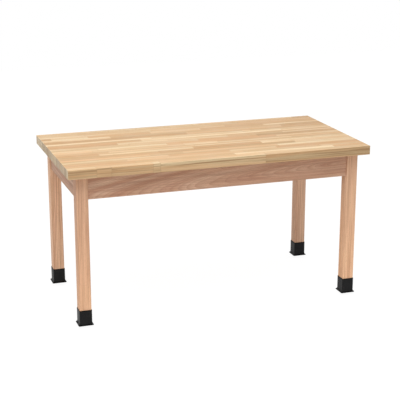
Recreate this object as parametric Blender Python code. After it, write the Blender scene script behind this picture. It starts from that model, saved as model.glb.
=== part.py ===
# Laboratory table: a butcher block top on a bolted leg and apron frame.
# Units are metres and +Z is up. +X runs along the table and the front faces -Y.
# The origin is on the floor, under the centre of the top.

import math

import bmesh
import bpy
from mathutils import Matrix, Vector

# Top
TOP_LENGTH = 1.524
TOP_DEPTH = 0.762
TOP_THICKNESS = 0.04445
TOP_OVERHANG = 0.04445
TOP_EDGE_RADIUS = 0.0016

# Legs and aprons
FRAME_HEIGHT = 0.7366
LEG_WIDTH = 0.05715
LEG_EDGE_RADIUS = 0.0020
LEG_FLAT_CUT = 0.0180
APRON_HEIGHT = 0.1143
APRON_THICKNESS = 0.01905
APRON_SETBACK = 0.00635
APRON_EDGE_RADIUS = 0.0015
FIT_GAP = 0.0003

# Steel corner brackets
BRACKET_THICKNESS = 0.0025
BRACKET_HEIGHT = 0.0762
BRACKET_DROP = 0.0200
BRACKET_STANDOFF = 0.0080
BRACKET_WING = 0.0450
BRACKET_BEND_RADIUS = 0.0045
LIP_BEND_RADIUS = 0.0015
LIP_DEPTH = 0.0060
KERF_CLEARANCE = 0.0005
KERF_END_ROOM = 0.0010
BRACKET_SCREW_DIAMETER = 0.0042
BRACKET_SCREW_SPACING = 0.0460

# Hanger bolts and flange nuts
BOLT_DIAMETER = 0.009525
BOLT_BITE = 0.0340
BOLT_TIP_DIAMETER = 0.0028
BOLT_POINT = 0.0070
BOLT_TAIL = 0.0060
BOLT_SPACING = 0.0420
NUT_WIDTH = 0.0143
NUT_HEIGHT = 0.0086
NUT_FLANGE_DIAMETER = 0.0216
NUT_FLANGE_THICKNESS = 0.0018

# Levelling glides and their threaded inserts
PAD_DIAMETER = 0.0286
PAD_HEIGHT = 0.0075
PAD_RIM_HEIGHT = 0.0030
PAD_EDGE = 0.0006
BALL_DIAMETER = 0.0080
BALL_HEIGHT = 0.0052
NECK_DIAMETER = 0.0056
COLLAR_WIDTH = 0.0143
COLLAR_HEIGHT = 0.0048
COLLAR_RISE = 0.0008
STEM_DIAMETER = 0.009525
STEM_LENGTH = 0.0254
STEM_CHAMFER = 0.0010
INSERT_DIAMETER = 0.0127
INSERT_LENGTH = 0.0190
INSERT_FLANGE_DIAMETER = 0.0206
INSERT_FLANGE_THICKNESS = 0.0016
STEM_END_ROOM = 0.0060

# Leg boots
BOOT_HEIGHT = 0.0762
BOOT_WALL = 0.0020
BOOT_FLANGE = 0.0060
BOOT_COVE_HEIGHT = 0.0130
BOOT_TIP_THICKNESS = 0.0035
BOOT_LIP_CHAMFER = 0.0007

# Top clips and their screws
CLIP_THICKNESS = 0.0020
CLIP_WIDTH = 0.0280
CLIP_TONGUE = 0.0080
CLIP_PAD = 0.0220
CLIP_HOLE_REACH = 0.0121
CLIP_WEB_OFFSET = 0.0020
CLIP_BEND_RADIUS = 0.0018
GROOVE_HEIGHT = 0.0032
GROOVE_DEPTH = 0.0095
GROOVE_DROP = 0.0110
CLIP_SPACING = 0.7600
SCREW_DIAMETER = 0.0042
SCREW_LENGTH = 0.0190
SCREW_POINT = 0.0040
SCREW_HEAD_DIAMETER = 0.0082
SCREW_CROWN_DIAMETER = 0.0045
SCREW_HEAD_HEIGHT = 0.0026
SCREW_HEAD_SIDE = 0.0012
SCREW_END_ROOM = 0.0020

# Smoothness of round shapes
PAD_SIDES = 24
ROD_SIDES = 16
SCREW_SIDES = 12
CORNER_STEPS = 4
BEND_STEPS = 3
CUT_MARGIN = 0.0050
SMOOTH_ANGLE = math.radians(38)

# Sizes that follow from the ones above
LEG_BOTTOM = PAD_HEIGHT + COLLAR_RISE + COLLAR_HEIGHT + INSERT_FLANGE_THICKNESS + 2 * FIT_GAP
LEG_CENTRE = LEG_WIDTH / 2
LEG_FLAT_SUM = 2 * LEG_WIDTH - LEG_FLAT_CUT
FRAME_LENGTH = TOP_LENGTH - 2 * TOP_OVERHANG
FRAME_DEPTH = TOP_DEPTH - 2 * TOP_OVERHANG
APRON_INNER_FACE = APRON_SETBACK + APRON_THICKNESS
APRON_BOTTOM = FRAME_HEIGHT - APRON_HEIGHT
WING_LINE = APRON_INNER_FACE + FIT_GAP + BRACKET_THICKNESS / 2
PLATE_SUM = LEG_FLAT_SUM + math.sqrt(2) * (BRACKET_STANDOFF + BRACKET_THICKNESS / 2)
BRACKET_BEND = PLATE_SUM - WING_LINE
BRACKET_END = BRACKET_BEND + BRACKET_WING
BRACKET_MIDDLE = FRAME_HEIGHT - BRACKET_DROP - BRACKET_HEIGHT / 2
GROOVE_TOP = FRAME_HEIGHT - GROOVE_DROP
DIAGONAL = Vector((1, 1, 0)).normalized()


def clear_scene():
    for item in list(bpy.data.objects):
        bpy.data.objects.remove(item)


def make_material(name, colour, roughness, metallic=0.0):
    material = bpy.data.materials.new(name)
    material.use_nodes = True
    shader = material.node_tree.nodes["Principled BSDF"]
    shader.inputs["Base Color"].default_value = (*colour, 1)
    shader.inputs["Roughness"].default_value = roughness
    shader.inputs["Metallic"].default_value = metallic
    material.diffuse_color = (*colour, 1)
    return material


def add_empty(name, location, turn):
    empty = bpy.data.objects.new(name, None)
    empty.location = location
    empty.rotation_euler = (0, 0, turn)
    bpy.context.collection.objects.link(empty)
    return empty


def add_piece(name, mesh, material, parent=None, location=(0, 0, 0), turn=0.0, along=None):
    """Place a mesh as its own object, turned about Z or with its +Z along a direction."""
    if not mesh.materials:
        mesh.materials.append(material)
    piece = bpy.data.objects.new(name, mesh)
    piece.parent = parent
    piece.location = location
    if along is None:
        piece.rotation_euler = (0, 0, turn)
    else:
        piece.rotation_euler = along.to_track_quat("Z", "Y").to_euler()
    bpy.context.collection.objects.link(piece)
    return piece


def finish_mesh(name, bm, smooth=False):
    bmesh.ops.recalc_face_normals(bm, faces=bm.faces)
    mesh = bpy.data.meshes.new(name)
    bm.to_mesh(mesh)
    bm.free()
    if smooth:
        mesh.shade_smooth()
        mesh.set_sharp_from_angle(angle=SMOOTH_ANGLE)
    return mesh


def arc(centre, radius, start, end, steps):
    """Points on an arc, with the angles in degrees."""
    points = []
    for step in range(steps + 1):
        angle = math.radians(start + (end - start) * step / steps)
        points.append((centre[0] + radius * math.cos(angle), centre[1] + radius * math.sin(angle)))
    return points


def rounded_rectangle(low, high, radius, steps=CORNER_STEPS):
    corners = [
        ((high[0] - radius, high[1] - radius), 0),
        ((low[0] + radius, high[1] - radius), 90),
        ((low[0] + radius, low[1] + radius), 180),
        ((high[0] - radius, low[1] + radius), 270),
    ]
    points = []
    for centre, start in corners:
        points += arc(centre, radius, start, start + 90, steps)
    return points


def extruded(name, outline, height, bottom=0.0, smooth=False):
    """Extrude a closed outline from the XY plane along +Z."""
    bm = bmesh.new()
    face = bm.faces.new([bm.verts.new((x, y, bottom)) for x, y in outline])
    lifted = bmesh.ops.extrude_face_region(bm, geom=[face])
    top_points = [item for item in lifted["geom"] if isinstance(item, bmesh.types.BMVert)]
    bmesh.ops.translate(bm, verts=top_points, vec=(0, 0, height))
    return finish_mesh(name, bm, smooth)


def turned(name, profile, sides, smooth=True):
    """Spin a profile of (radius, height) points about Z into a closed solid."""
    bm = bmesh.new()
    points = [bm.verts.new((radius, 0, height)) for radius, height in profile]
    edges = [bm.edges.new(pair) for pair in zip(points, points[1:])]
    if profile[0][0] > 0:
        edges.append(bm.edges.new((points[-1], points[0])))
    bmesh.ops.spin(
        bm,
        geom=points + edges,
        cent=(0, 0, 0),
        axis=(0, 0, 1),
        angle=2 * math.pi,
        steps=sides,
    )
    bmesh.ops.remove_doubles(bm, verts=bm.verts, dist=1e-6)
    return finish_mesh(name, bm, smooth)


def lofted_ring(name, rings):
    """Join equal closed rings of points one after another, and the last to the first."""
    bm = bmesh.new()
    loops = [[bm.verts.new(point) for point in ring] for ring in rings]
    for index, loop in enumerate(loops):
        following = loops[(index + 1) % len(loops)]
        for side in range(len(loop)):
            beside = (side + 1) % len(loop)
            bm.faces.new((loop[side], loop[beside], following[beside], following[side]))
    return finish_mesh(name, bm, smooth=True)


def moved(mesh, matrix):
    mesh.transform(matrix)
    return mesh


def pointed_along(point, direction):
    """The placement that puts a mesh's origin at a point and its +Z along a direction."""
    return Matrix.Translation(point) @ direction.to_track_quat("Z", "Y").to_matrix().to_4x4()


def carved(name, blank, tools, operation="DIFFERENCE", smooth=False):
    """Cut closed meshes out of a blank, or unite them with it, and give the result's mesh."""
    body = bpy.data.objects.new(name + "_blank", blank)
    bpy.context.collection.objects.link(body)
    helpers = [body]
    for index, tool in enumerate(tools):
        cutter = bpy.data.objects.new(f"{name}_cutter_{index}", tool)
        cutter.hide_render = True
        cutter.display_type = "WIRE"
        bpy.context.collection.objects.link(cutter)
        helpers.append(cutter)
        boolean = body.modifiers.new(f"cut_{index}", "BOOLEAN")
        boolean.operation = operation
        boolean.solver = "EXACT"
        boolean.object = cutter
    bpy.context.view_layer.update()
    graph = bpy.context.evaluated_depsgraph_get()
    mesh = bpy.data.meshes.new_from_object(body.evaluated_get(graph))
    mesh.name = name
    for helper in helpers:
        bpy.data.objects.remove(helper)
    if smooth:
        mesh.shade_smooth()
        mesh.set_sharp_from_angle(angle=SMOOTH_ANGLE)
    return mesh


def rod(name, radius, length, sides=ROD_SIDES):
    return turned(name, [(0, 0), (radius, 0), (radius, length), (0, length)], sides)


def hexagon(name, width, height, bottom=0.0):
    """A hexagonal prism, with its size given across the flats."""
    corner = width / 2 / math.cos(math.pi / 6)
    outline = [
        (corner * math.cos(math.radians(60 * side)), corner * math.sin(math.radians(60 * side)))
        for side in range(6)
    ]
    return extruded(name, outline, height, bottom)


def strip_outline(path, thickness, bend_radii):
    """The outline of a bent strip whose middle follows a path, with a radius for each bend."""
    middle = []
    for index, point in enumerate(path):
        point = Vector(point)
        if index in (0, len(path) - 1):
            beside = Vector(path[1]) if index == 0 else Vector(path[-2])
            heading = (beside - point if index == 0 else point - beside).normalized()
            middle.append((point, heading))
            continue
        before = (point - Vector(path[index - 1])).normalized()
        after = (Vector(path[index + 1]) - point).normalized()
        turn = before.angle_signed(after) * -1
        bend_radius = bend_radii[index - 1]
        reach = bend_radius * math.tan(abs(turn) / 2)
        side = Vector((-before.y, before.x)) * math.copysign(1, turn)
        centre = point - before * reach + side * bend_radius
        for step in range(BEND_STEPS + 1):
            rotation = Matrix.Rotation(turn * step / BEND_STEPS, 2)
            middle.append((centre - rotation @ side * bend_radius, rotation @ before))
    left = [point + Vector((-heading.y, heading.x)) * thickness / 2 for point, heading in middle]
    right = [point - Vector((-heading.y, heading.x)) * thickness / 2 for point, heading in middle]
    return [tuple(point) for point in left + right[::-1]]


# Butcher block top
def top_mesh(screw_places):
    bm = bmesh.new()
    bmesh.ops.create_cube(bm, size=1)
    bmesh.ops.scale(bm, verts=bm.verts, vec=(TOP_LENGTH, TOP_DEPTH, TOP_THICKNESS))
    bmesh.ops.translate(bm, verts=bm.verts, vec=(0, 0, FRAME_HEIGHT + TOP_THICKNESS / 2))
    bmesh.ops.bevel(
        bm,
        geom=bm.edges[:],
        offset=TOP_EDGE_RADIUS,
        segments=2,
        affect="EDGES",
        profile=0.5,
    )
    slab = finish_mesh("butcher_block_blank", bm)
    depth = SCREW_LENGTH + SCREW_END_ROOM
    pilots = [
        moved(
            rod("pilot", SCREW_DIAMETER / 2 + FIT_GAP, depth + CUT_MARGIN, SCREW_SIDES),
            Matrix.Translation((x, y, FRAME_HEIGHT - CUT_MARGIN)),
        )
        for x, y in screw_places
    ]
    return carved("butcher_block_top", slab, pilots)


# Leg, in its corner's axes: outer corner at the origin, +X and +Y inwards
def leg_mesh():
    outline = rounded_rectangle((0, 0), (LEG_WIDTH, LEG_WIDTH), LEG_EDGE_RADIUS)
    blank = extruded("leg_blank", outline, FRAME_HEIGHT - FIT_GAP - LEG_BOTTOM, LEG_BOTTOM, smooth=True)
    edge = LEG_WIDTH + CUT_MARGIN
    corner = [(edge, LEG_FLAT_SUM - edge), (edge, edge), (LEG_FLAT_SUM - edge, edge)]
    tools = [extruded("leg_flat", corner, APRON_HEIGHT + CUT_MARGIN, APRON_BOTTOM)]
    for height in bolt_heights():
        mouth = DIAGONAL * (LEG_FLAT_SUM / math.sqrt(2) + CUT_MARGIN) + Vector((0, 0, height))
        bore = rod("bolt_bore", BOLT_DIAMETER / 2 + FIT_GAP, BOLT_BITE + FIT_GAP + CUT_MARGIN)
        tools.append(moved(bore, pointed_along(mouth, -DIAGONAL)))
    depth = max(INSERT_LENGTH, STEM_LENGTH) + STEM_END_ROOM
    socket = rod("insert_bore", INSERT_DIAMETER / 2 + FIT_GAP, depth + CUT_MARGIN)
    place = (LEG_CENTRE, LEG_CENTRE, LEG_BOTTOM - CUT_MARGIN)
    tools.append(moved(socket, Matrix.Translation(place)))
    return carved("leg", blank, tools, smooth=True)


def bolt_heights():
    return [BRACKET_MIDDLE - BOLT_SPACING / 2, BRACKET_MIDDLE + BOLT_SPACING / 2]


# Apron, with its length along X, its outer face on Y = 0 and its own bottom edge at Z = 0
def apron_mesh(name, length):
    radius = APRON_EDGE_RADIUS
    inner = APRON_THICKNESS
    height = APRON_HEIGHT - FIT_GAP
    groove_top = APRON_HEIGHT - GROOVE_DROP
    section = arc((radius, radius), radius, 270, 180, CORNER_STEPS - 2)
    section += [(0, height), (inner, height)]
    section += [(inner, groove_top), (inner - GROOVE_DEPTH, groove_top)]
    section += [(inner - GROOVE_DEPTH, groove_top - GROOVE_HEIGHT), (inner, groove_top - GROOVE_HEIGHT)]
    section += arc((inner - radius, radius), radius, 0, -90, CORNER_STEPS - 2)
    along_x = Matrix(((0, 0, 1, -length / 2), (1, 0, 0, 0), (0, 1, 0, 0), (0, 0, 0, 1)))
    blank = moved(extruded(name + "_blank", section, length), along_x)
    width = BRACKET_THICKNESS + 2 * KERF_CLEARANCE
    depth = LIP_DEPTH + KERF_END_ROOM
    kerfs = []
    for side in (-1, 1):
        middle = side * (length / 2 - (BRACKET_END - LEG_WIDTH - FIT_GAP))
        outline = [
            (middle - width / 2, inner - depth),
            (middle + width / 2, inner - depth),
            (middle + width / 2, inner + CUT_MARGIN),
            (middle - width / 2, inner + CUT_MARGIN),
        ]
        kerfs.append(extruded("kerf", outline, APRON_HEIGHT + 2 * CUT_MARGIN, -CUT_MARGIN))
    return carved(name, blank, kerfs, smooth=True)


# Corner bracket, in its corner's axes
def bracket_mesh():
    path = [
        (BRACKET_END, APRON_INNER_FACE - LIP_DEPTH),
        (BRACKET_END, WING_LINE),
        (BRACKET_BEND, WING_LINE),
        (WING_LINE, BRACKET_BEND),
        (WING_LINE, BRACKET_END),
        (APRON_INNER_FACE - LIP_DEPTH, BRACKET_END),
    ]
    bends = [LIP_BEND_RADIUS, BRACKET_BEND_RADIUS, BRACKET_BEND_RADIUS, LIP_BEND_RADIUS]
    outline = strip_outline(path, BRACKET_THICKNESS, bends)
    low = BRACKET_MIDDLE - BRACKET_HEIGHT / 2
    blank = extruded("bracket_blank", outline, BRACKET_HEIGHT, low, smooth=True)
    tools = []
    start = PLATE_SUM / math.sqrt(2) - CUT_MARGIN
    for height in bolt_heights():
        hole = rod("bolt_hole", BOLT_DIAMETER / 2 + FIT_GAP, 2 * CUT_MARGIN)
        tools.append(moved(hole, pointed_along(DIAGONAL * start + Vector((0, 0, height)), DIAGONAL)))
    wing_middle = (BRACKET_BEND + BRACKET_END) / 2
    for side in (-1, 1):
        height = BRACKET_MIDDLE + side * BRACKET_SCREW_SPACING / 2
        places = [
            (Vector((wing_middle, WING_LINE - CUT_MARGIN, height)), Vector((0, 1, 0))),
            (Vector((WING_LINE - CUT_MARGIN, wing_middle, height)), Vector((1, 0, 0))),
        ]
        for point, direction in places:
            hole = rod("screw_hole", BRACKET_SCREW_DIAMETER / 2 + FIT_GAP, 2 * CUT_MARGIN, SCREW_SIDES)
            tools.append(moved(hole, pointed_along(point, direction)))
    return carved("corner_bracket", blank, tools, smooth=True)


# Hanger bolt, from its point in the leg along +Z to its threaded tail
def bolt_mesh():
    radius = BOLT_DIAMETER / 2
    length = BOLT_BITE + BRACKET_STANDOFF + BRACKET_THICKNESS + FIT_GAP + NUT_HEIGHT + BOLT_TAIL
    profile = [
        (0, 0),
        (BOLT_TIP_DIAMETER / 2, 0),
        (radius, BOLT_POINT),
        (radius, length - STEM_CHAMFER),
        (radius - STEM_CHAMFER, length),
        (0, length),
    ]
    return turned("hanger_bolt", profile, ROD_SIDES)


# Flange nut, standing on its flange
def nut_mesh():
    rim = NUT_FLANGE_DIAMETER / 2
    profile = [
        (0, 0),
        (rim, 0),
        (rim, NUT_FLANGE_THICKNESS / 2),
        (NUT_WIDTH / 2, NUT_FLANGE_THICKNESS),
        (0, NUT_FLANGE_THICKNESS),
    ]
    flange = turned("nut_flange", profile, ROD_SIDES)
    body = hexagon("nut_body", NUT_WIDTH, NUT_HEIGHT - NUT_FLANGE_THICKNESS / 2, NUT_FLANGE_THICKNESS / 2)
    joined = carved("nut_joined", flange, [body], "UNION")
    bore = rod("nut_bore", BOLT_DIAMETER / 2 + FIT_GAP, NUT_HEIGHT + 2 * CUT_MARGIN)
    bore = moved(bore, Matrix.Translation((0, 0, -CUT_MARGIN)))
    return carved("flange_nut", joined, [bore], smooth=True)


# Glide pad: a low round foot with a ball socket open at its top
def pad_mesh():
    rim = PAD_DIAMETER / 2
    socket = BALL_DIAMETER / 2 + FIT_GAP
    mouth = math.degrees(math.asin((PAD_HEIGHT - BALL_HEIGHT) / socket))
    profile = [
        (0, 0),
        (rim - PAD_EDGE, 0),
        (rim, PAD_EDGE),
        (rim, PAD_RIM_HEIGHT),
        (rim - PAD_EDGE, PAD_RIM_HEIGHT + PAD_EDGE),
        (socket + PAD_EDGE, PAD_HEIGHT),
    ]
    bowl = arc((0, BALL_HEIGHT), socket, mouth, -90, CORNER_STEPS)
    profile += bowl[:-1] + [(0, BALL_HEIGHT - socket)]
    return turned("glide_pad", profile, PAD_SIDES)


# Glide screw: ball, neck, hexagonal collar and threaded stem
def glide_screw_mesh():
    ball = BALL_DIAMETER / 2
    neck = NECK_DIAMETER / 2
    stem = STEM_DIAMETER / 2
    collar_bottom = PAD_HEIGHT + COLLAR_RISE
    collar_top = collar_bottom + COLLAR_HEIGHT
    stem_top = collar_top + STEM_LENGTH
    throat = math.degrees(math.acos(neck / ball))
    profile = [(0, BALL_HEIGHT - ball)]
    profile += arc((0, BALL_HEIGHT), ball, -90, throat, CORNER_STEPS)[1:]
    profile += [
        (neck, collar_bottom + COLLAR_HEIGHT / 2),
        (stem, collar_bottom + COLLAR_HEIGHT / 2),
        (stem, stem_top - STEM_CHAMFER),
        (stem - STEM_CHAMFER, stem_top),
        (0, stem_top),
    ]
    spindle = turned("glide_spindle", profile, ROD_SIDES)
    collar = hexagon("glide_collar", COLLAR_WIDTH, COLLAR_HEIGHT, collar_bottom)
    return carved("glide_screw", spindle, [collar], "UNION", smooth=True)


# Threaded insert: a flange under the leg and a barrel up its bore
def insert_mesh():
    barrel = INSERT_DIAMETER / 2
    bore = STEM_DIAMETER / 2 + FIT_GAP
    flange_bottom = LEG_BOTTOM - FIT_GAP - INSERT_FLANGE_THICKNESS
    profile = [
        (bore, flange_bottom),
        (INSERT_FLANGE_DIAMETER / 2, flange_bottom),
        (INSERT_FLANGE_DIAMETER / 2, flange_bottom + INSERT_FLANGE_THICKNESS),
        (barrel, flange_bottom + INSERT_FLANGE_THICKNESS),
        (barrel, LEG_BOTTOM + INSERT_LENGTH),
        (bore, LEG_BOTTOM + INSERT_LENGTH),
    ]
    return turned("glide_insert", profile, ROD_SIDES)


# Leg boot: a square sleeve whose foot sweeps out in a cove
def boot_mesh():
    inside = FIT_GAP
    outside = FIT_GAP + BOOT_WALL
    section = [
        (inside, 0),
        (inside, BOOT_HEIGHT),
        (outside - BOOT_LIP_CHAMFER, BOOT_HEIGHT),
        (outside, BOOT_HEIGHT - BOOT_LIP_CHAMFER),
    ]
    sweep = BOOT_COVE_HEIGHT - BOOT_TIP_THICKNESS
    for step in range(CORNER_STEPS + 1):
        angle = math.pi / 2 * step / CORNER_STEPS
        out = outside + BOOT_FLANGE * (1 - math.cos(angle))
        section.append((out, BOOT_COVE_HEIGHT - sweep * math.sin(angle)))
    section.append((outside + BOOT_FLANGE, 0))
    rings = []
    for offset, height in section:
        half = LEG_WIDTH / 2 + offset
        radius = LEG_EDGE_RADIUS + min(offset, outside)
        ring = rounded_rectangle((-half, -half), (half, half), radius, CORNER_STEPS)
        rings.append([(x, y, height) for x, y in ring])
    return lofted_ring("leg_boot", rings)


# Top clip, in side view from the apron's inner face, then as wide as the clip
def clip_mesh():
    tongue_height = GROOVE_TOP - FIT_GAP - CLIP_THICKNESS / 2
    pad_height = FRAME_HEIGHT - FIT_GAP - CLIP_THICKNESS / 2
    web = CLIP_WEB_OFFSET + CLIP_THICKNESS / 2
    path = [
        (-CLIP_TONGUE, tongue_height),
        (web, tongue_height),
        (web, pad_height),
        (web + CLIP_PAD, pad_height),
    ]
    outline = strip_outline(path, CLIP_THICKNESS, [CLIP_BEND_RADIUS, CLIP_BEND_RADIUS])
    along_x = Matrix(((0, 0, 1, -CLIP_WIDTH / 2), (1, 0, 0, 0), (0, 1, 0, 0), (0, 0, 0, 1)))
    blank = moved(extruded("clip_blank", outline, CLIP_WIDTH, smooth=True), along_x)
    hole = rod("clip_hole", SCREW_DIAMETER / 2 + FIT_GAP, 2 * CUT_MARGIN, SCREW_SIDES)
    hole = moved(hole, Matrix.Translation((0, clip_screw_reach(), pad_height - CUT_MARGIN)))
    return carved("top_clip", blank, [hole], smooth=True)


def clip_screw_reach():
    """How far a clip's screw stands in from its apron's inner face."""
    return CLIP_WEB_OFFSET + CLIP_THICKNESS / 2 + CLIP_HOLE_REACH


# Clip screw, with the seat of its head at the origin and its point up
def clip_screw_mesh():
    head = SCREW_HEAD_DIAMETER / 2
    shank = SCREW_DIAMETER / 2
    profile = [
        (0, -SCREW_HEAD_HEIGHT),
        (SCREW_CROWN_DIAMETER / 2, -SCREW_HEAD_HEIGHT),
        (head, -SCREW_HEAD_SIDE),
        (head, 0),
        (shank, 0),
        (shank, SCREW_LENGTH - SCREW_POINT),
        (0, SCREW_LENGTH),
    ]
    return turned("clip_screw", profile, SCREW_SIDES)


def build_corner(name, location, turn, meshes, finishes):
    """Leg, bracket, bolts, nuts, insert, glide and boot round one corner of the frame."""
    corner = add_empty("corner_" + name, location, turn)
    centre = (LEG_CENTRE, LEG_CENTRE, 0)
    add_piece("leg_" + name, meshes["leg"], finishes["oak"], corner)
    add_piece("corner_bracket_" + name, meshes["bracket"], finishes["zinc"], corner)
    for label, height in zip(("lower", "upper"), bolt_heights()):
        bolt_name = f"hanger_bolt_{label}_{name}"
        point = DIAGONAL * (LEG_FLAT_SUM / math.sqrt(2) - BOLT_BITE) + Vector((0, 0, height))
        add_piece(bolt_name, meshes["bolt"], finishes["bright"], corner, point, along=DIAGONAL)
        nut_name = f"flange_nut_{label}_{name}"
        seat = PLATE_SUM / math.sqrt(2) + BRACKET_THICKNESS / 2 + FIT_GAP
        point = DIAGONAL * seat + Vector((0, 0, height))
        add_piece(nut_name, meshes["nut"], finishes["bright"], corner, point, along=DIAGONAL)
    add_piece("glide_insert_" + name, meshes["insert"], finishes["zinc"], corner, centre)
    add_piece("glide_screw_" + name, meshes["screw"], finishes["bright"], corner, centre)
    add_piece("glide_pad_" + name, meshes["pad"], finishes["nylon"], corner, centre)
    add_piece("leg_boot_" + name, meshes["boot"], finishes["vinyl"], corner, centre)


def build_side(name, location, turn, mesh, clip_places, meshes, finishes):
    """One apron with the clips and screws that hold the top to it."""
    apron = add_piece("apron_" + name, mesh, finishes["oak"], None, location, turn)
    screw_seat = FRAME_HEIGHT - APRON_BOTTOM - 2 * FIT_GAP - CLIP_THICKNESS
    for label, place in clip_places.items():
        tail = f"{name}_{label}" if label else name
        drop = (place, APRON_THICKNESS, -APRON_BOTTOM)
        add_piece("top_clip_" + tail, meshes["clip"], finishes["zinc"], apron, drop)
        seat = (place, APRON_THICKNESS + clip_screw_reach(), screw_seat)
        add_piece("clip_screw_" + tail, meshes["clip_screw"], finishes["bright"], apron, seat)


def main():
    clear_scene()
    finishes = {
        "maple": make_material("maple_block", (0.74, 0.55, 0.34), 0.38),
        "oak": make_material("oak", (0.60, 0.38, 0.24), 0.42),
        "zinc": make_material("zinc_plated_steel", (0.62, 0.61, 0.57), 0.42, 1.0),
        "bright": make_material("bright_steel", (0.70, 0.70, 0.71), 0.30, 1.0),
        "nylon": make_material("black_nylon", (0.03, 0.03, 0.032), 0.50),
        "vinyl": make_material("black_vinyl", (0.025, 0.025, 0.025), 0.45),
    }
    meshes = {
        "leg": leg_mesh(),
        "bracket": bracket_mesh(),
        "bolt": bolt_mesh(),
        "nut": nut_mesh(),
        "insert": insert_mesh(),
        "screw": glide_screw_mesh(),
        "pad": pad_mesh(),
        "boot": boot_mesh(),
        "clip": clip_mesh(),
        "clip_screw": clip_screw_mesh(),
    }
    half_length = FRAME_LENGTH / 2
    half_depth = FRAME_DEPTH / 2
    corners = {
        "front_left": ((-half_length, -half_depth, 0), 0),
        "front_right": ((half_length, -half_depth, 0), math.pi / 2),
        "rear_right": ((half_length, half_depth, 0), math.pi),
        "rear_left": ((-half_length, half_depth, 0), -math.pi / 2),
    }
    for name, (location, turn) in corners.items():
        build_corner(name, location, turn, meshes, finishes)

    between_legs = 2 * (LEG_WIDTH + FIT_GAP)
    long_apron = apron_mesh("long_apron", FRAME_LENGTH - between_legs)
    short_apron = apron_mesh("short_apron", FRAME_DEPTH - between_legs)
    pair = {"left": -CLIP_SPACING / 2, "right": CLIP_SPACING / 2}
    swapped_pair = {"right": -CLIP_SPACING / 2, "left": CLIP_SPACING / 2}
    single = {"": 0}
    out_x = half_length - APRON_SETBACK
    out_y = half_depth - APRON_SETBACK
    sides = {
        "front": ((0, -out_y, APRON_BOTTOM), 0, long_apron, pair),
        "rear": ((0, out_y, APRON_BOTTOM), math.pi, long_apron, swapped_pair),
        "left": ((-out_x, 0, APRON_BOTTOM), -math.pi / 2, short_apron, single),
        "right": ((out_x, 0, APRON_BOTTOM), math.pi / 2, short_apron, single),
    }
    screw_places = []
    reach = APRON_THICKNESS + clip_screw_reach()
    for name, (location, turn, mesh, clip_places) in sides.items():
        build_side(name, location, turn, mesh, clip_places, meshes, finishes)
        for place in clip_places.values():
            point = Vector(location) + Matrix.Rotation(turn, 3, "Z") @ Vector((place, reach, 0))
            screw_places.append((point.x, point.y))
    add_piece("butcher_block_top", top_mesh(screw_places), finishes["maple"])


main()
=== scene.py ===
# Laboratory table: its finishes and fine pieces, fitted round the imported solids.
# Units are metres and +Z is up. +X runs along the table and the front faces -Y.
# Every board and stave is drawn as solid wood, so its grain agrees on all of its faces.

import math
import random
from types import SimpleNamespace

import bmesh
import bpy
from mathutils import Matrix, Vector


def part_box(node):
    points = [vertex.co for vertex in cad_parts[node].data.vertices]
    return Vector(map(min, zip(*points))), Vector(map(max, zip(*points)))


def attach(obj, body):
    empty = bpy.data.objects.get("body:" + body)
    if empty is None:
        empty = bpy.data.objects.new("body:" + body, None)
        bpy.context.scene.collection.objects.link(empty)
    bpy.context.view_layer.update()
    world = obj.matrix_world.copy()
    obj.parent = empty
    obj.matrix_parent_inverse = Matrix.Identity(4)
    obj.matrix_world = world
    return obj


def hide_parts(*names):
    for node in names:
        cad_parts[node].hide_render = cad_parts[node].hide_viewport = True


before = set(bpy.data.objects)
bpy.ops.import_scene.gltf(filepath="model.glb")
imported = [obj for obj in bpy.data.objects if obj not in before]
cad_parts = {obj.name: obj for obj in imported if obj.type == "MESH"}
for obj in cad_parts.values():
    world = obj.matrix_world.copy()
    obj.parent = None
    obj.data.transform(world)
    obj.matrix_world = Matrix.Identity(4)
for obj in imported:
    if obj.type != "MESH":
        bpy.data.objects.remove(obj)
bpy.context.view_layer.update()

CORNERS = ("front_left", "front_right", "rear_right", "rear_left")
CLIP_TAILS = ("front_left", "front_right", "rear_left", "rear_right", "left", "right")
LEVELS = ("lower", "upper")

# Camera
AIM = Vector((0, 0, 0.46688))
CAMERA_AZIMUTH = math.radians(-18.7163)
CAMERA_ELEVATION = math.radians(16.3093)
CAMERA_DISTANCE = 5.71955
CAMERA_LENS = 100.296
SENSOR_WIDTH = 36.0

# Studio
FLOOR_LEVEL = -0.0130
FLOOR_SIZE = 14.0
FLOOR_GLOW = 1.06
FLOOR_GLOW_SHARE = 0.90
DOME_HORIZON = 0.36
DOME_ZENITH = 0.80
OVERHEAD_PLACE = (-0.6, -1.0, 3.2)
OVERHEAD_SIZE = 2.6
OVERHEAD_POWER = 72.0

# Butcher block top
STAVE_WIDTH = 0.0381
TOP_EDGE_RADIUS = 0.0016
SHORTEST_STAVE = 0.15
LONGEST_STAVE = 0.56
STAVE_SEED = 11

# Legs and aprons
FIT_GAP = 0.0003
EASED_EDGE = 0.0003
SAW_SPARE = 0.01
LEG_EDGE_RADIUS = 0.0020
LEG_FLAT_CUT = 0.0180
APRON_THICKNESS = 0.01905
APRON_SETBACK = 0.00635
APRON_INNER_FACE = APRON_SETBACK + APRON_THICKNESS
APRON_EDGE_RADIUS = 0.0015
GROOVE_DROP = 0.0110
GROOVE_HEIGHT = 0.0032
GROOVE_DEPTH = 0.0095
KERF_WIDTH = 0.0035
KERF_DEPTH = 0.0070
BOLT_BORE_DEPTH = 0.0343
BUSH_BORE = 0.0133
BUSH_BORE_DEPTH = 0.0314
PILOT_HOLE = 0.0046
PILOT_DEPTH = 0.0170
PILOT_SPARE = 0.0020

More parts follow.
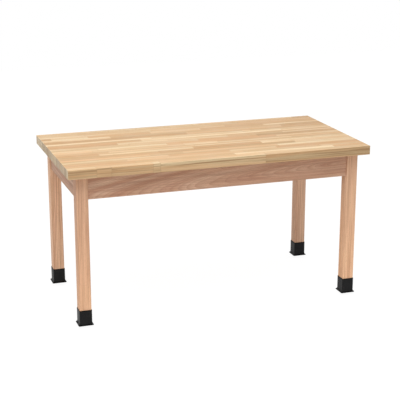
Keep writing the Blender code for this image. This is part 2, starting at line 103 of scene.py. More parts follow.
# Steel corner brackets
BRACKET_THICKNESS = 0.0025
BRACKET_WING = 0.0450
BRACKET_BEND_RADIUS = 0.0045
LIP_BEND_RADIUS = 0.0015
LIP_DEPTH = 0.0060
BRACKET_SCREW_RISES = (-0.0230, 0.0230)
SCREW_HOLE = 0.0048
BOLT_HOLE = 0.0101

# Top clips
CLIP_THICKNESS = 0.0020
CLIP_TONGUE = 0.0080
CLIP_WEB_OFFSET = 0.0020
CLIP_PAD = 0.0220
CLIP_BEND_RADIUS = 0.0018
CLIP_HOLE_REACH = 0.0121

# Bolts, nuts and screws
BOLT_DIAMETER = 0.009525
MACHINE_PITCH = 0.0015875
MACHINE_THREAD_DEPTH = 0.00085
LAG_PITCH = 0.0032
LAG_THREAD_DEPTH = 0.0011
LAG_END = 0.0260
MACHINE_START = 0.0340
HEXAGON_WIDTH = 0.0143
NUT_FLANGE_RADIUS = 0.0108
NUT_FLANGE_THICKNESS = 0.0018
SCREW_DIAMETER = 0.0042
SCREW_PITCH = 0.0016
SCREW_THREAD_DEPTH = 0.00055
SCREW_LENGTH = 0.0190
SCREW_HEAD_RADIUS = 0.0041
SCREW_HEAD_HEIGHT = 0.0026
THREAD_CLEARANCE = 0.0002

# Levelling glides
BALL_RADIUS = 0.0040
BALL_HEIGHT = 0.0052
SOCKET_RADIUS = 0.0043
NECK_RADIUS = 0.0028
COLLAR_LOW = 0.0083
COLLAR_HIGH = 0.0131
BUSH_FLANGE_THICKNESS = 0.0016
BUSH_RADIUS = 0.00635
BUSH_DRILL = 0.0102
BUSH_MOUTH_RADIUS = 0.0053

# Leg boots
BOOT_WALL = 0.0020
BOOT_FLANGE = 0.0060
BOOT_COVE_HEIGHT = 0.0130
BOOT_TIP_THICKNESS = 0.0035
BOOT_TIP_RADIUS = 0.0006
BOOT_CORNER_RADIUS = 0.0043


def srgb(red, green, blue):
    """A colour in 0-255 display values as linear light. Over 255 it brightens what it multiplies."""
    linear = []
    for value in (red, green, blue):
        share = value / 255
        linear.append(share / 12.92 if share <= 0.04045 else ((share + 0.055) / 1.055) ** 2.4)
    return (*linear, 1.0)


# Colours
OAK_LIGHT = srgb(251, 209, 173)
OAK_DARK = srgb(219, 166, 132)
OAK_RING = srgb(176, 126, 99)
OAK_PINK = srgb(226, 174, 152)
OAK_PORE = srgb(142, 103, 83)
OAK_FLECK = srgb(246, 212, 178)
OAK_END = srgb(158, 118, 90)
OAK_EDGE = srgb(186, 140, 112)
# A darker apron tone, with a painted cool shade hue
OAK_DEEP_AND_COOL_SHADE = srgb(230, 233, 238)
MAPLE_PALE = srgb(232, 211, 171)
MAPLE_TAN = srgb(165, 131, 86)
MAPLE_PINK = srgb(201, 153, 107)
MAPLE_RING = srgb(158, 120, 76)
MAPLE_END = srgb(158, 138, 108)
MAPLE_END_PALE = srgb(228, 214, 178)
MAPLE_SIDE_DARK = srgb(204, 184, 166)
MAPLE_SIDE_LIGHT = srgb(255, 255, 255)
GLUE = srgb(118, 90, 58)
VINYL_BLACK = (0.0128, 0.0128, 0.0130, 1.0)
VINYL_GREY = (0.0180, 0.0180, 0.0183, 1.0)
VINYL_RIM_SHADE = (0.0015, 0.0015, 0.0015, 1.0)
VINYL_SCUFF = (0.035, 0.035, 0.035, 1.0)
NYLON_BLACK = (0.016, 0.016, 0.018, 1.0)
NYLON_WORN = (0.050, 0.050, 0.050, 1.0)
ZINC_LIGHT = (0.66, 0.65, 0.61, 1.0)
ZINC_DARK = (0.48, 0.48, 0.46, 1.0)
ZINC_BLOOM = (0.72, 0.72, 0.70, 1.0)
STEEL_LIGHT = (0.72, 0.72, 0.73, 1.0)
STEEL_DARK = (0.50, 0.50, 0.52, 1.0)
FLOOR_PALE = (0.90, 0.90, 0.90, 1.0)
WHITE = (1.0, 1.0, 1.0, 1.0)


# Shader nodes
class Field:
    """A node's output, as a value that varies over a surface. Arithmetic on it adds nodes."""

    def __init__(self, socket):
        self.socket = socket

    def __add__(self, other):
        return compute("ADD", self, other)

    def __sub__(self, other):
        return compute("SUBTRACT", self, other)

    def __rsub__(self, other):
        return compute("SUBTRACT", other, self)

    def __mul__(self, other):
        return compute("MULTIPLY", self, other)

    def __truediv__(self, other):
        return compute("DIVIDE", self, other)

    def __abs__(self):
        return compute("ABSOLUTE", self)


def tree_of(*values):
    """The node tree that holds the first field among some values."""
    return next(value.socket.id_data for value in values if isinstance(value, Field))


def join(value, socket):
    """Link a field to a socket, or set the socket to a plain value."""
    if isinstance(value, Field):
        socket.id_data.links.new(value.socket, socket)
    else:
        socket.default_value = value


def add_node(tree, kind, inputs, output=0, **settings):
    """Add a node, set its properties and inputs, and give one of its outputs."""
    node = tree.nodes.new("ShaderNode" + kind)
    for name, value in settings.items():
        setattr(node, name, value)
    for key, value in inputs.items():
        join(value, node.inputs[key])
    return Field(node.outputs[output])


def compute(operation, *values, clamp=False):
    """Arithmetic on numbers, or on vectors where one of the values is a vector."""
    tree = tree_of(*values)
    inputs = dict(enumerate(values))
    fields = [value for value in values if isinstance(value, Field)]
    if all(field.socket.type == "VALUE" for field in fields):
        return add_node(tree, "Math", inputs, operation=operation, use_clamp=clamp)
    return add_node(tree, "VectorMath", inputs, operation=operation)


def least(first, second):
    return compute("MINIMUM", first, second)


def greatest(first, second):
    return compute("MAXIMUM", first, second)


def combine(x, y, z):
    return add_node(tree_of(x, y, z), "CombineXYZ", {"X": x, "Y": y, "Z": z})


def parts(field):
    """The three parts of a vector or of a colour."""
    kind, name = ("XYZ", "Vector") if field.socket.type == "VECTOR" else ("Color", "Color")
    node = tree_of(field).nodes.new("ShaderNodeSeparate" + kind)
    join(field, node.inputs[name])
    return [Field(socket) for socket in node.outputs]


def noise(place, scale, detail=2.0, roughness=0.5, output="Fac"):
    """Soft noise over a vector, or along a line where the place is a single number."""
    on_line = place.socket.type == "VALUE"
    socket, dimensions = ("W", "1D") if on_line else ("Vector", "3D")
    inputs = {socket: place, "Scale": scale, "Detail": detail, "Roughness": roughness}
    return add_node(tree_of(place), "TexNoise", inputs, output, noise_dimensions=dimensions)


def chance_of(number, output):
    """A random value or colour for each number."""
    return add_node(tree_of(number), "TexWhiteNoise", {"W": number}, output, noise_dimensions="1D")


def ramp(value, low, high, to_low=0.0, to_high=1.0):
    """Rise smoothly from one level to another as a value goes from low to high."""
    inputs = {"Value": value, "From Min": low, "From Max": high, "To Min": to_low, "To Max": to_high}
    return add_node(tree_of(value), "MapRange", inputs, interpolation_type="SMOOTHSTEP")


def blend(share, first, second, mode="MIX"):
    inputs = {0: share, 6: first, 7: second}
    tree = tree_of(share, first, second)
    return add_node(tree, "Mix", inputs, 2, data_type="RGBA", blend_type=mode)


def multiply(colour, other):
    return blend(1.0, colour, other, "MULTIPLY")


def start_group(name, **inputs):
    """A node group whose inputs are vectors, where no default is given, or numbers."""
    tree = bpy.data.node_groups.new(name, "ShaderNodeTree")
    for label, default in inputs.items():
        kind = "NodeSocketVector" if default is None else "NodeSocketFloat"
        socket = tree.interface.new_socket(label, in_out="INPUT", socket_type=kind)
        if default is not None:
            socket.default_value = default
    outputs = tree.nodes.new("NodeGroupInput").outputs
    return tree, SimpleNamespace(**{label: Field(outputs[label]) for label in inputs})


def finish_group(tree, **results):
    """Give a node group its outputs."""
    for label in results:
        tree.interface.new_socket(label, in_out="OUTPUT", socket_type="NodeSocketFloat")
    sockets = tree.nodes.new("NodeGroupOutput").inputs
    for label, value in results.items():
        join(value, sockets[label])
    return tree


def use(group, **inputs):
    """Place a node group in the tree of its inputs, and give its outputs by name."""
    node = tree_of(*inputs.values()).nodes.new("ShaderNodeGroup")
    node.node_tree = group
    for label, value in inputs.items():
        join(value, node.inputs[label])
    return SimpleNamespace(**{socket.name: Field(socket) for socket in node.outputs})


def growth_rings_group():
    """Year rings round a pith line along Z: the dark line that ends each ring, and broad bands."""
    tree, given = start_group("growth_rings", place=None, pith=None, width=0.003, wander=0.01, seed=0.0)
    shift = combine(given.seed, given.seed * 1.7, 0.0)
    drift = noise(given.place * (7.0, 7.0, 1.5) + shift, 1.0, output="Color")
    bent = given.place + (drift - (0.5, 0.5, 0.5)) * given.wander
    across = (bent - given.pith) * (1.0, 1.0, 0.0)
    radius = add_node(tree, "VectorMath", {0: across}, "Value", operation="LENGTH")
    turns = (radius + noise(radius + given.seed, 60.0, 1.0) * given.width) / given.width
    phase = compute("FRACT", turns)
    band = noise(turns + given.seed * 13.0, 0.27, 1.0)
    return finish_group(
        tree,
        ring=compute("POWER", phase, 2.5) * ramp(phase, 1.0, 0.93),
        band=ramp(band, 0.28, 0.72),
        year=chance_of(compute("FLOOR", turns), "Value"),
    )


def fibre_group():
    """What runs along the grain: fibres, streaks and broad drifts of colour, pores and ray flecks."""
    tree, given = start_group("wood_fibre", place=None, seed=0.0)
    place = given.place + combine(given.seed, 0.0, given.seed)
    return finish_group(
        tree,
        fibre=noise(place * (620.0, 620.0, 8.0), 1.0, 3.0),
        streaks=ramp(noise(place * (150.0, 150.0, 2.6), 1.0, 3.0, 0.6), 0.38, 0.64),
        drifts=ramp(noise(place * (60.0, 60.0, 1.6), 1.0), 0.38, 0.62),
        pores=ramp(noise(place * (1500.0, 1500.0, 90.0), 1.0, 1.0), 0.60, 0.70),
        flecks=ramp(noise(place * (260.0, 900.0, 60.0), 1.0, 1.0), 0.63, 0.72),
    )


def edge_group():
    """How near a point is to an edge of a box that lies square to the axes: 1 on the edge."""
    tree, given = start_group("edge_nearness", place=None, low=None, high=None, width=0.002)
    x, y, z = parts(least(given.place - given.low, given.high - given.place))
    second = greatest(least(x, y), least(greatest(x, y), z))
    return finish_group(tree, edge=compute("SUBTRACT", 1.0, second / given.width, clamp=True))


def handling_group():
    """Soft large patches and fine specks that vary a finish, as hands and cleaning leave it."""
    tree, given = start_group("handling", place=None, seed=0.0)
    place = given.place + combine(given.seed, given.seed, 0.0)
    return finish_group(
        tree,
        patches=ramp(noise(place, 9.0, 4.0), 0.3, 0.7),
        specks=ramp(noise(place, 900.0, 1.0), 0.62, 0.75),
        ripple=noise(place, 260.0),
    )


def spangle_group():
    """Zinc plating: faint crystal patches, and cloudy bloom."""
    tree, given = start_group("zinc_spangle", place=None, seed=0.0)
    place = given.place + combine(given.seed, 0.0, 0.0)
    cells = add_node(tree, "TexVoronoi", {"Vector": place, "Scale": 420.0, "Randomness": 1.0}, "Color")
    crystals = add_node(tree, "RGBToBW", {"Color": cells})
    return finish_group(tree, crystals=crystals, bloom=ramp(noise(place, 70.0, 4.0), 0.35, 0.68))


RINGS = growth_rings_group()
FIBRE = fibre_group()
EDGE = edge_group()
HANDLING = handling_group()
SPANGLE = spangle_group()


def start_material(name):
    """A new material, its shader, and each point's object coordinates."""
    material = bpy.data.materials.new(name)
    material.use_nodes = True
    shader = material.node_tree.nodes["Principled BSDF"]
    return material, shader, add_node(material.node_tree, "TexCoord", {}, "Object")


def set_finish(shader, colour, roughness, relief, depth, specular=0.5, metallic=0.0):
    """Link a shader's colour, roughness and fine relief, and set its constant sockets."""
    bump = add_node(shader.id_data, "Bump", {"Height": relief, "Distance": depth}, "Normal")
    join(colour, shader.inputs["Base Color"])
    join(roughness, shader.inputs["Roughness"])
    join(bump, shader.inputs["Normal"])
    shader.inputs["Specular IOR Level"].default_value = specular
    shader.inputs["Metallic"].default_value = metallic


def grain_along_z(vector, grain):
    """Turn a vector so that the board's grain, given as an axis letter, lies along Z."""
    x, y, z = parts(vector)
    return combine(*{"X": (y, z, x), "Y": (x, z, y), "Z": (x, y, z)}[grain])


def faces_along(axis, shader):
    """1 on faces that look along an axis, either way."""
    normal = add_node(shader.id_data, "TexCoord", {}, "Normal")
    return ramp(abs(parts(normal)["XYZ".index(axis)]), 0.55, 0.85)


def oak_material(node, grain, pith, lean, seed, ring_width, wander, figure, tints):
    """Satin-lacquered red oak for one board. Pith and lean place the tree's centre line beside it.

    Along the grain it is multiplied from the first tint to the second, and these tints are painted
    light and shade: a leg darker at the top under the slab and paler at the foot, or a cool shade hue.
    """
    material, shader, place = start_material("oak_" + node)
    low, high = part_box(node)
    local = place - tuple((low + high) / 2)
    upright = grain_along_z(local, grain)
    along = parts(upright)[2]
    half_length = (high - low)["XYZ".index(grain)] / 2
    centre = combine(along * lean[0] + pith[0], along * lean[1] + pith[1], 0.0)
    rings = use(RINGS, place=upright, pith=centre, width=ring_width, wander=wander, seed=seed)
    fibre = use(FIBRE, place=upright, seed=seed)
    handling = use(HANDLING, place=local, seed=seed)
    edge = use(EDGE, place=place, low=tuple(low), high=tuple(high), width=0.0022).edge
    colour = blend(rings.band * figure, OAK_LIGHT, OAK_DARK)
    colour = blend(fibre.drifts * (0.35 * figure), colour, OAK_DARK)
    colour = blend(fibre.streaks * 0.50, colour, OAK_RING)
    colour = blend(rings.ring * 0.60, colour, OAK_RING)
    colour = blend(rings.year * 0.14, colour, OAK_PINK)
    colour = multiply(colour, ramp(fibre.fibre, 0.3, 0.7, 1.06, 0.94))
    colour = blend(fibre.pores * ramp(rings.ring, 0.6, 0.05, 0.10, 0.50), colour, OAK_PORE)
    colour = blend(fibre.flecks * 0.16, colour, OAK_FLECK)
    # Painted light and shade: the tints darken or lighten the board from one end to the other, and can
    # cool its hue.
    colour = multiply(colour, blend(ramp(along, -half_length, half_length), *tints))
    colour = blend(faces_along(grain, shader) * 0.45, colour, OAK_END)
    colour = blend(handling.patches * 0.07, colour, OAK_PINK)
    colour = blend(edge * 0.45, colour, OAK_EDGE)
    roughness = handling.patches * 0.08 + fibre.pores * 0.15 + 0.44
    relief = fibre.fibre * 0.25 - fibre.pores + rings.ring * 0.3
    set_finish(shader, colour, roughness, relief, 0.00012, specular=0.06)
    return material


def stave_material():
    """Satin-lacquered staves: each takes its tone, its warmth and its own rings from the block."""
    low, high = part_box("butcher_block_top")
    material, shader, place = start_material("block_top_maple")
    tree = material.node_tree
    tone, warmth, figure = parts(add_node(tree, "Attribute", {}, "Color", attribute_name="stave_tint"))
    heartwood = add_node(tree, "Attribute", {}, "Alpha", attribute_name="stave_tint")
    start, end, seed = parts(add_node(tree, "Attribute", {}, "Color", attribute_name="stave_span"))

    x, y, z = parts(place)
    from_left = x - low.x
    from_front = y - low.y
    in_row = (compute("FRACT", from_front / STAVE_WIDTH) - 0.5) * STAVE_WIDTH
    local = combine(in_row, z - (low.z + high.z) / 2, from_left)
    pith_across, pith_depth, pith_slope = parts(chance_of(seed, "Color"))
    drift = (from_left - start) * ((pith_slope - 0.5) * 0.09)
    pith = combine((pith_across - 0.5) * 0.20 + drift, (pith_depth - 0.5) * 0.16, 0.0)
    rings = use(RINGS, place=local, pith=pith, width=0.0034, wander=0.008, seed=seed)
    fibre = use(FIBRE, place=local, seed=seed)
    handling = use(HANDLING, place=place, seed=3.0)

    colour = blend(tone, MAPLE_PALE, MAPLE_TAN)
    colour = blend(warmth, colour, MAPLE_PINK)
    colour = blend(rings.band * (figure * 0.42), colour, MAPLE_RING)
    colour = blend(rings.ring * 0.20, colour, MAPLE_RING)
    colour = blend(fibre.drifts * 0.60, colour, MAPLE_PINK)
    colour = blend(fibre.streaks * 0.45, colour, MAPLE_TAN)
    colour = multiply(colour, ramp(fibre.fibre, 0.3, 0.7, 1.06, 0.94))

    # The long sides show a bolder figure, most of all on pale staves
    evened = tone * 0.5
    bold = ramp(fibre.drifts - fibre.streaks, -1.1, 0.4, evened, 1.06 - evened)
    side = multiply(colour, blend(bold, MAPLE_SIDE_DARK, MAPLE_SIDE_LIGHT))
    colour = blend(faces_along("Y", shader), colour, side)
    colour = blend(fibre.pores * 0.16, colour, MAPLE_RING)
    far_edge = ramp(in_row, STAVE_WIDTH / 2 - 0.009, STAVE_WIDTH / 2 - 0.005)
    colour = blend(far_edge * heartwood * 0.75, colour, MAPLE_RING)

    # End grain, some staves paler than others
    end_tone = blend(pith_across, MAPLE_END, MAPLE_END_PALE)
    end_tone = blend(rings.ring * 0.7, end_tone, MAPLE_RING)
    end_share = ramp(pith_depth, 0.2, 0.8, 0.35, 0.75)
    colour = blend(faces_along("X", shader) * end_share, colour, end_tone)

    # Glue lines between rows and at butt joints, but none round the block's outer edges
    within_y = least(from_front, high.y - y)
    within_x = least(from_left, high.x - x)
    row_line = ramp(STAVE_WIDTH / 2 - abs(in_row), 0.00045, 0.00010)
    joint_line = ramp(least(from_left - start, end - from_left), 0.00070, 0.00020)
    glue = greatest(
        row_line * compute("GREATER_THAN", within_y, STAVE_WIDTH / 2),
        joint_line * compute("GREATER_THAN", within_x, 0.004),
    )
    colour = blend(glue * 0.55, colour, GLUE)
    # Painted highlight: the block's outer edges a little paler, as though light catches their rounding.
    edge = use(EDGE, place=place, low=tuple(low), high=tuple(high), width=0.0030).edge
    colour = blend(edge * 0.25, colour, MAPLE_PALE)
    relief = fibre.fibre * 0.4 + handling.ripple - glue * 1.5
    set_finish(shader, colour, handling.patches * 0.10 + 0.42, relief, 0.00006, specular=0.35)
    return material


def vinyl_material(corner, top):
    """Satin black vinyl: a fine moulded skin, with painted shade on its two rims, and scuffed at the
    foot.
    """
    material, shader, place = start_material("boot_vinyl_" + corner)
    handling = use(HANDLING, place=place, seed=2.0 + CORNERS.index(corner))
    height = parts(place)[2]
    scuffs = ramp(height, BOOT_COVE_HEIGHT, 0.0) * handling.specks
    # Painted shade: the cove of the foot and a band just under the top rim go to near black.
    tip = ramp(height, BOOT_COVE_HEIGHT - 0.0020, BOOT_TIP_THICKNESS)
    lip = ramp(height, top - 0.0045, top - 0.0025)
    colour = blend(handling.patches, VINYL_BLACK, VINYL_GREY)
    colour = blend(greatest(tip, lip), colour, VINYL_RIM_SHADE)
    colour = blend(scuffs * 0.5, colour, VINYL_SCUFF)
    roughness = handling.patches * 0.10 + scuffs * 0.2 + 0.38
    set_finish(shader, colour, roughness, handling.ripple, 0.00010, specular=0.09)
    return material


def nylon_material():
    """Moulded black nylon with a dry, slightly worn skin."""
    material, shader, place = start_material("glide_nylon")
    handling = use(HANDLING, place=place, seed=5.0)
    colour = blend(handling.patches * 0.35, NYLON_BLACK, NYLON_WORN)
    set_finish(shader, colour, handling.specks * 0.2 + 0.48, handling.ripple, 0.00008)
    return material


def zinc_material():
    """Zinc-plated pressed steel with faint spangle and cloudy bloom."""
    material, shader, place = start_material("zinc_plate")
    spangle = use(SPANGLE, place=place, seed=1.0)
    colour = blend(spangle.crystals, ZINC_DARK, ZINC_LIGHT)
    colour = blend(spangle.bloom * 0.4, colour, ZINC_BLOOM)
    set_finish(shader, colour, spangle.bloom * 0.18 + 0.30, spangle.crystals, 0.00003, metallic=1.0)
    return material


def bright_steel_material():
    """Bright-plated fasteners, a little darker in patches where oil dried."""
    material, shader, place = start_material("bright_fasteners")
    handling = use(HANDLING, place=place, seed=7.0)
    colour = blend(handling.patches, STEEL_LIGHT, STEEL_DARK)
    set_finish(shader, colour, handling.ripple * 0.14 + 0.24, handling.ripple, 0.00002, metallic=1.0)
    return material


# Modelling helpers
def select_only(piece=None):
    """Leave edit mode and select one piece, or nothing."""
    if bpy.context.mode != "OBJECT":
        bpy.ops.object.mode_set(mode="OBJECT")
    bpy.ops.object.select_all(action="DESELECT")
    if piece:
        piece.select_set(True)
        bpy.context.view_layer.objects.active = piece


def add_primitive(operator, name, **settings):
    """Add a primitive, name it, and move its place into its mesh."""
    select_only()
    operator(**settings)
    piece = bpy.context.object
    piece.name = name
    piece.data.name = name
    bpy.ops.object.transform_apply(location=True, rotation=True, scale=True)
    return piece


def start_editing(piece, kind="VERT"):
    """Edit a piece with all of it selected."""
    select_only(piece)
    bpy.ops.object.mode_set(mode="EDIT")
    bpy.ops.mesh.select_mode(type=kind)
    bpy.ops.mesh.select_all(action="SELECT")


def select_parts(piece, kind, test):
    """Select only those of the mesh's verts, edges or faces that pass a test."""
    bpy.ops.mesh.select_all(action="DESELECT")
    mesh = bmesh.from_edit_mesh(piece.data)
    for part in getattr(mesh, kind):
        if test(part):
            part.select_set(True)
    mesh.select_flush_mode()
    bmesh.update_edit_mesh(piece.data)


def finish_editing():
    """Point every face outwards and leave edit mode."""
    bpy.ops.mesh.select_all(action="SELECT")
    bpy.ops.mesh.normals_make_consistent(inside=False)
    select_only()


def apply_modifier(piece, kind, **settings):
    select_only(piece)
    modifier = piece.modifiers.new(kind.lower(), kind)
    for name, value in settings.items():
        setattr(modifier, name, value)
    bpy.ops.object.modifier_apply(modifier=modifier.name)


def cut_away(piece, cutter, operation="DIFFERENCE"):
    """Cut one piece with another, join them or keep what both hold, and delete the cutter."""
    apply_modifier(piece, "BOOLEAN", operation=operation, solver="EXACT", object=cutter)
    bpy.data.objects.remove(cutter)


def shade(piece, degrees=35):
    """Smooth rounded parts and keep flat faces flat."""
    select_only(piece)
    bpy.ops.object.shade_smooth_by_angle(angle=math.radians(degrees))
    apply_modifier(piece, "WEIGHTED_NORMAL", keep_sharp=True)


def finish_piece(piece, body, slot, material, *nodes):
    piece.data.materials.clear()
    piece.data.materials.append(material)
    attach(piece, body)
    if nodes:
        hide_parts(*nodes)


def place_copy(template, name, place, finish, *nodes, body="table"):
    """Finish a copy of a template, with its own mesh, at its place. Finish is a slot name, which is not
    used, and a material.
    """
    piece = bpy.data.objects.new(name, template.data.copy())
    piece.data.name = name
    piece.data.transform(place)
    bpy.context.collection.objects.link(piece)
    shade(piece)
    finish_piece(piece, body, *finish, *nodes)


def middle_of(node):
    low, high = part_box(node)
    return (low + high) / 2


def turn_about_z(degrees):
    return Matrix.Rotation(math.radians(degrees), 4, "Z")


def turn_towards(direction):
    """The turn that brings +Z to a direction."""
    return Vector(direction).to_track_quat("Z", "Y").to_matrix().to_4x4()


def outer_corner(corner):
    """A leg's outer corner in plan, and the signs of X and Y on its side of the table."""
    low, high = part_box("leg_" + corner)
    side = Vector([math.copysign(1, low[axis] + high[axis]) for axis in (0, 1)] + [0])
    return Vector([(high if side[axis] > 0 else low)[axis] for axis in (0, 1)] + [0]), side


def corner_place(corner):
    """From a corner's own axes, outer corner at the origin and +X and +Y inwards, to its place."""
    return Matrix.Translation(outer_corner(corner)[0]) @ turn_about_z(90 * CORNERS.index(corner))


def arc(centre, radius, start, end, steps):
    """(reach, height) points on an arc, with the angles in degrees."""
    points = []
    for step in range(steps + 1):
        angle = math.radians(start + (end - start) * step / steps)
        points.append((centre[0] + radius * math.cos(angle), centre[1] + radius * math.sin(angle)))
    return points


def sweep_rings(profile, centre=(0.0, 0.0)):
    """Extrude the selected ring through (reach, height) points, by moving and resizing it."""
    for (reach, height), (next_reach, next_height) in zip(profile, profile[1:]):
        rise = (0, 0, next_height - height)
        bpy.ops.mesh.extrude_region_move(TRANSFORM_OT_translate={"value": rise})
        factor = next_reach / reach
        if abs(factor - 1) > 1e-9:
            pivot = (*centre, next_height)
            bpy.ops.transform.resize(value=(factor, factor, 1), center_override=pivot)


def turned(name, profile, sides):
    """A solid of revolution about Z from (radius, height) points, capped flat at both ends."""
    radius, height = profile[0]
    piece = add_primitive(
        bpy.ops.mesh.primitive_circle_add, name,
        vertices=sides, radius=radius, fill_type="NGON", location=(0, 0, height),
    )
    start_editing(piece, "FACE")
    sweep_rings(profile)
    finish_editing()
    return piece


def block(name, low, high):
    """A rectangular block between its two far corners."""
    low, high = Vector(low), Vector(high)
    cube = bpy.ops.mesh.primitive_cube_add
    return add_primitive(cube, name, size=1, location=(low + high) / 2, scale=high - low)


def drill(piece, point, direction, diameter, reach=0.012, sides=32):
    """Drill a round hole centred on a point, with half its reach on each side."""
    bit = add_primitive(
        bpy.ops.mesh.primitive_cylinder_add, "drill", vertices=sides, radius=diameter / 2,
        depth=reach, location=point, rotation=turn_towards(direction).to_euler(),
    )
    cut_away(piece, bit)


def round_edges(piece, radius, segments, test):
    start_editing(piece, "EDGE")
    select_parts(piece, "edges", test)
    bpy.ops.mesh.bevel(offset=radius, segments=segments, affect="EDGES", profile=0.5)
    select_only()


def ease_edges(piece, width, degrees=40):
    """Take the sharpness off every edge that turns more than an angle."""
    limit = math.radians(degrees)
    apply_modifier(piece, "BEVEL", width=width, segments=2, limit_method="ANGLE", angle_limit=limit)


def runs_along(edge, axis):
    first, second = (vertex.co for vertex in edge.verts)
    return abs((second - first).normalized()[axis]) > 0.999


def chamfered_hexagon(name, low, high, chamfer_low, chamfer_high):
    """A hexagonal prism whose corners are turned off at an end, as on a machined nut."""
    corner = HEXAGON_WIDTH / math.sqrt(3)
    face = HEXAGON_WIDTH * 0.46
    drop = 0.0009
    prism = add_primitive(
        bpy.ops.mesh.primitive_cylinder_add, name, vertices=6, radius=corner,
        depth=high - low, location=(0, 0, (low + high) / 2), rotation=(0, 0, math.radians(30)),
    )
    profile = [(face, low), (corner, low + drop)] if chamfer_low else [(corner * 1.1, low - drop)]
    profile += [(corner, high - drop), (face, high)] if chamfer_high else [(corner * 1.1, high + drop)]
    cut_away(prism, turned("nut_turning", profile, 48), "INTERSECT")
    return prism


def threaded_rod(name, radius, depth, pitch, envelope, sides=20):
    """A helical thread, cut to the shape of a turned envelope that gives its ends."""
    low = min(height for reach, height in envelope)
    high = max(height for reach, height in envelope)
    thread = add_primitive(bpy.ops.mesh.primitive_plane_add, name, size=pitch, location=(0, 0, 0))
    start_editing(thread)
    mesh = bmesh.from_edit_mesh(thread.data)
    bmesh.ops.delete(mesh, geom=mesh.verts[:], context="VERTS")
    section = [(radius - depth, 0.5), (radius, 0.06), (radius, -0.06), (radius - depth, -0.5)]
    first_turn = low - 1.5 * pitch
    points = [mesh.verts.new((reach, 0, first_turn + pitch * share)) for reach, share in section]
    for first, second in zip(points, points[1:]):
        mesh.edges.new((first, second))
    bmesh.update_edit_mesh(thread.data)
    apply_modifier(
        thread, "SCREW", axis="Z", angle=2 * math.pi, screw_offset=pitch,
        iterations=math.ceil((high - low) / pitch) + 3, steps=sides, render_steps=sides,
        use_merge_vertices=True, merge_threshold=0.00001,
    )
    start_editing(thread)
    bpy.ops.mesh.remove_doubles(threshold=0.00002)
    for height, upper in ((low - 0.23 * pitch, False), (high + 0.21 * pitch, True)):
        bpy.ops.mesh.select_all(action="SELECT")
        bpy.ops.mesh.bisect(
            plane_co=(0, 0, height), plane_no=(0, 0, 1), threshold=1e-7,
            use_fill=True, clear_outer=upper, clear_inner=not upper,
        )
    finish_editing()
    cut_away(thread, turned(name + "_envelope", envelope, 32), "INTERSECT")
    return thread


def machine_thread(name, envelope):
    return threaded_rod(name, BOLT_DIAMETER / 2, MACHINE_THREAD_DEPTH, MACHINE_PITCH, envelope)


def folded_strip(name, path, height, thickness, folds):
    """Bend a flat strip along a plan path of (x, y) points, with a radius for each fold."""
    strip = add_primitive(bpy.ops.mesh.primitive_plane_add, name, size=1, location=(0, 0, 0))
    start_editing(strip)
    mesh = bmesh.from_edit_mesh(strip.data)
    first, second = Vector((*path[0], 0)), Vector((*path[1], 0))
    lift = Vector((0, 0, height))
    for vertex, place in zip(mesh.verts, (first, second, first + lift, second + lift)):
        vertex.co = place
    bmesh.update_edit_mesh(strip.data)
    for before, after in zip(path[1:], path[2:]):
        bpy.ops.mesh.select_mode(type="VERT")
        select_parts(strip, "verts", lambda vertex: (vertex.co.xy - Vector(before)).length < 1e-6)
        bpy.ops.mesh.select_mode(type="EDGE")
        step = (after[0] - before[0], after[1] - before[1], 0)
        bpy.ops.mesh.extrude_region_move(TRANSFORM_OT_translate={"value": step})
    for radius, *corners in zip(folds, path, path[1:], path[2:]):
        before, fold, after = (Vector(point) for point in corners)
        setback = radius * math.tan((fold - before).angle(after - fold) / 2)
        select_parts(
            strip, "edges",
            lambda edge: all((vertex.co.xy - fold).length < 1e-6 for vertex in edge.verts),
        )
        bpy.ops.mesh.bevel(offset=setback, segments=8, affect="EDGES", profile=0.5)
    finish_editing()
    apply_modifier(strip, "SOLIDIFY", thickness=thickness, offset=0.0, use_even_offset=True)
    return strip


# Butcher block top
# Notable staves: row from the front, start and end from the left end, how dark, how pink,
# and how strong a strip of heartwood along the far edge
NOTABLE_STAVES = (
    (0, 0.000, 0.135, 0.32, 0.10, 0.0),
    (0, 0.135, 0.205, 0.36, 0.05, 0.0),
    (0, 0.205, 0.405, 0.36, 0.30, 0.0),
    (0, 0.405, 0.440, 0.16, 0.05, 0.0),
    (0, 0.440, 0.968, 0.16, 0.00, 0.0),
    (0, 0.968, 1.524, 0.44, 0.04, 0.0),
    (1, 0.830, 1.350, 0.00, 0.00, 0.0),
    (2, 0.000, 0.305, 0.70, 0.30, 0.0),
    (3, 0.520, 0.830, 0.80, 0.10, 0.0),
    (5, 0.000, 0.495, 0.75, 0.20, 0.0),
    (7, 0.700, 1.524, 0.30, 0.10, 0.9),
    (9, 0.580, 1.170, 0.35, 0.75, 0.0),
    (12, 0.480, 1.250, 0.00, 0.00, 0.0),
    (13, 0.640, 1.040, 0.30, 0.10, 0.9),
    (13, 1.090, 1.524, 0.35, 0.10, 0.9),
    (15, 0.350, 1.290, 0.65, 0.20, 0.0),
    (16, 0.050, 0.240, 0.00, 0.00, 0.0),
    (19, 1.420, 1.524, 0.85, 0.20, 0.0),
)


def random_stave(chance, row, start, end):
    dark = chance.choice((0.05, 0.15, 0.30, 0.45, 0.65, 0.90)) + chance.uniform(-0.05, 0.05)
    pink = chance.choice((0.0, 0.0, 0.1, 0.2, 0.45))
    strip = chance.choice((0.0, 0.0, 0.4, 0.7, 1.0))
    return (row, start, end, dark, pink, strip)


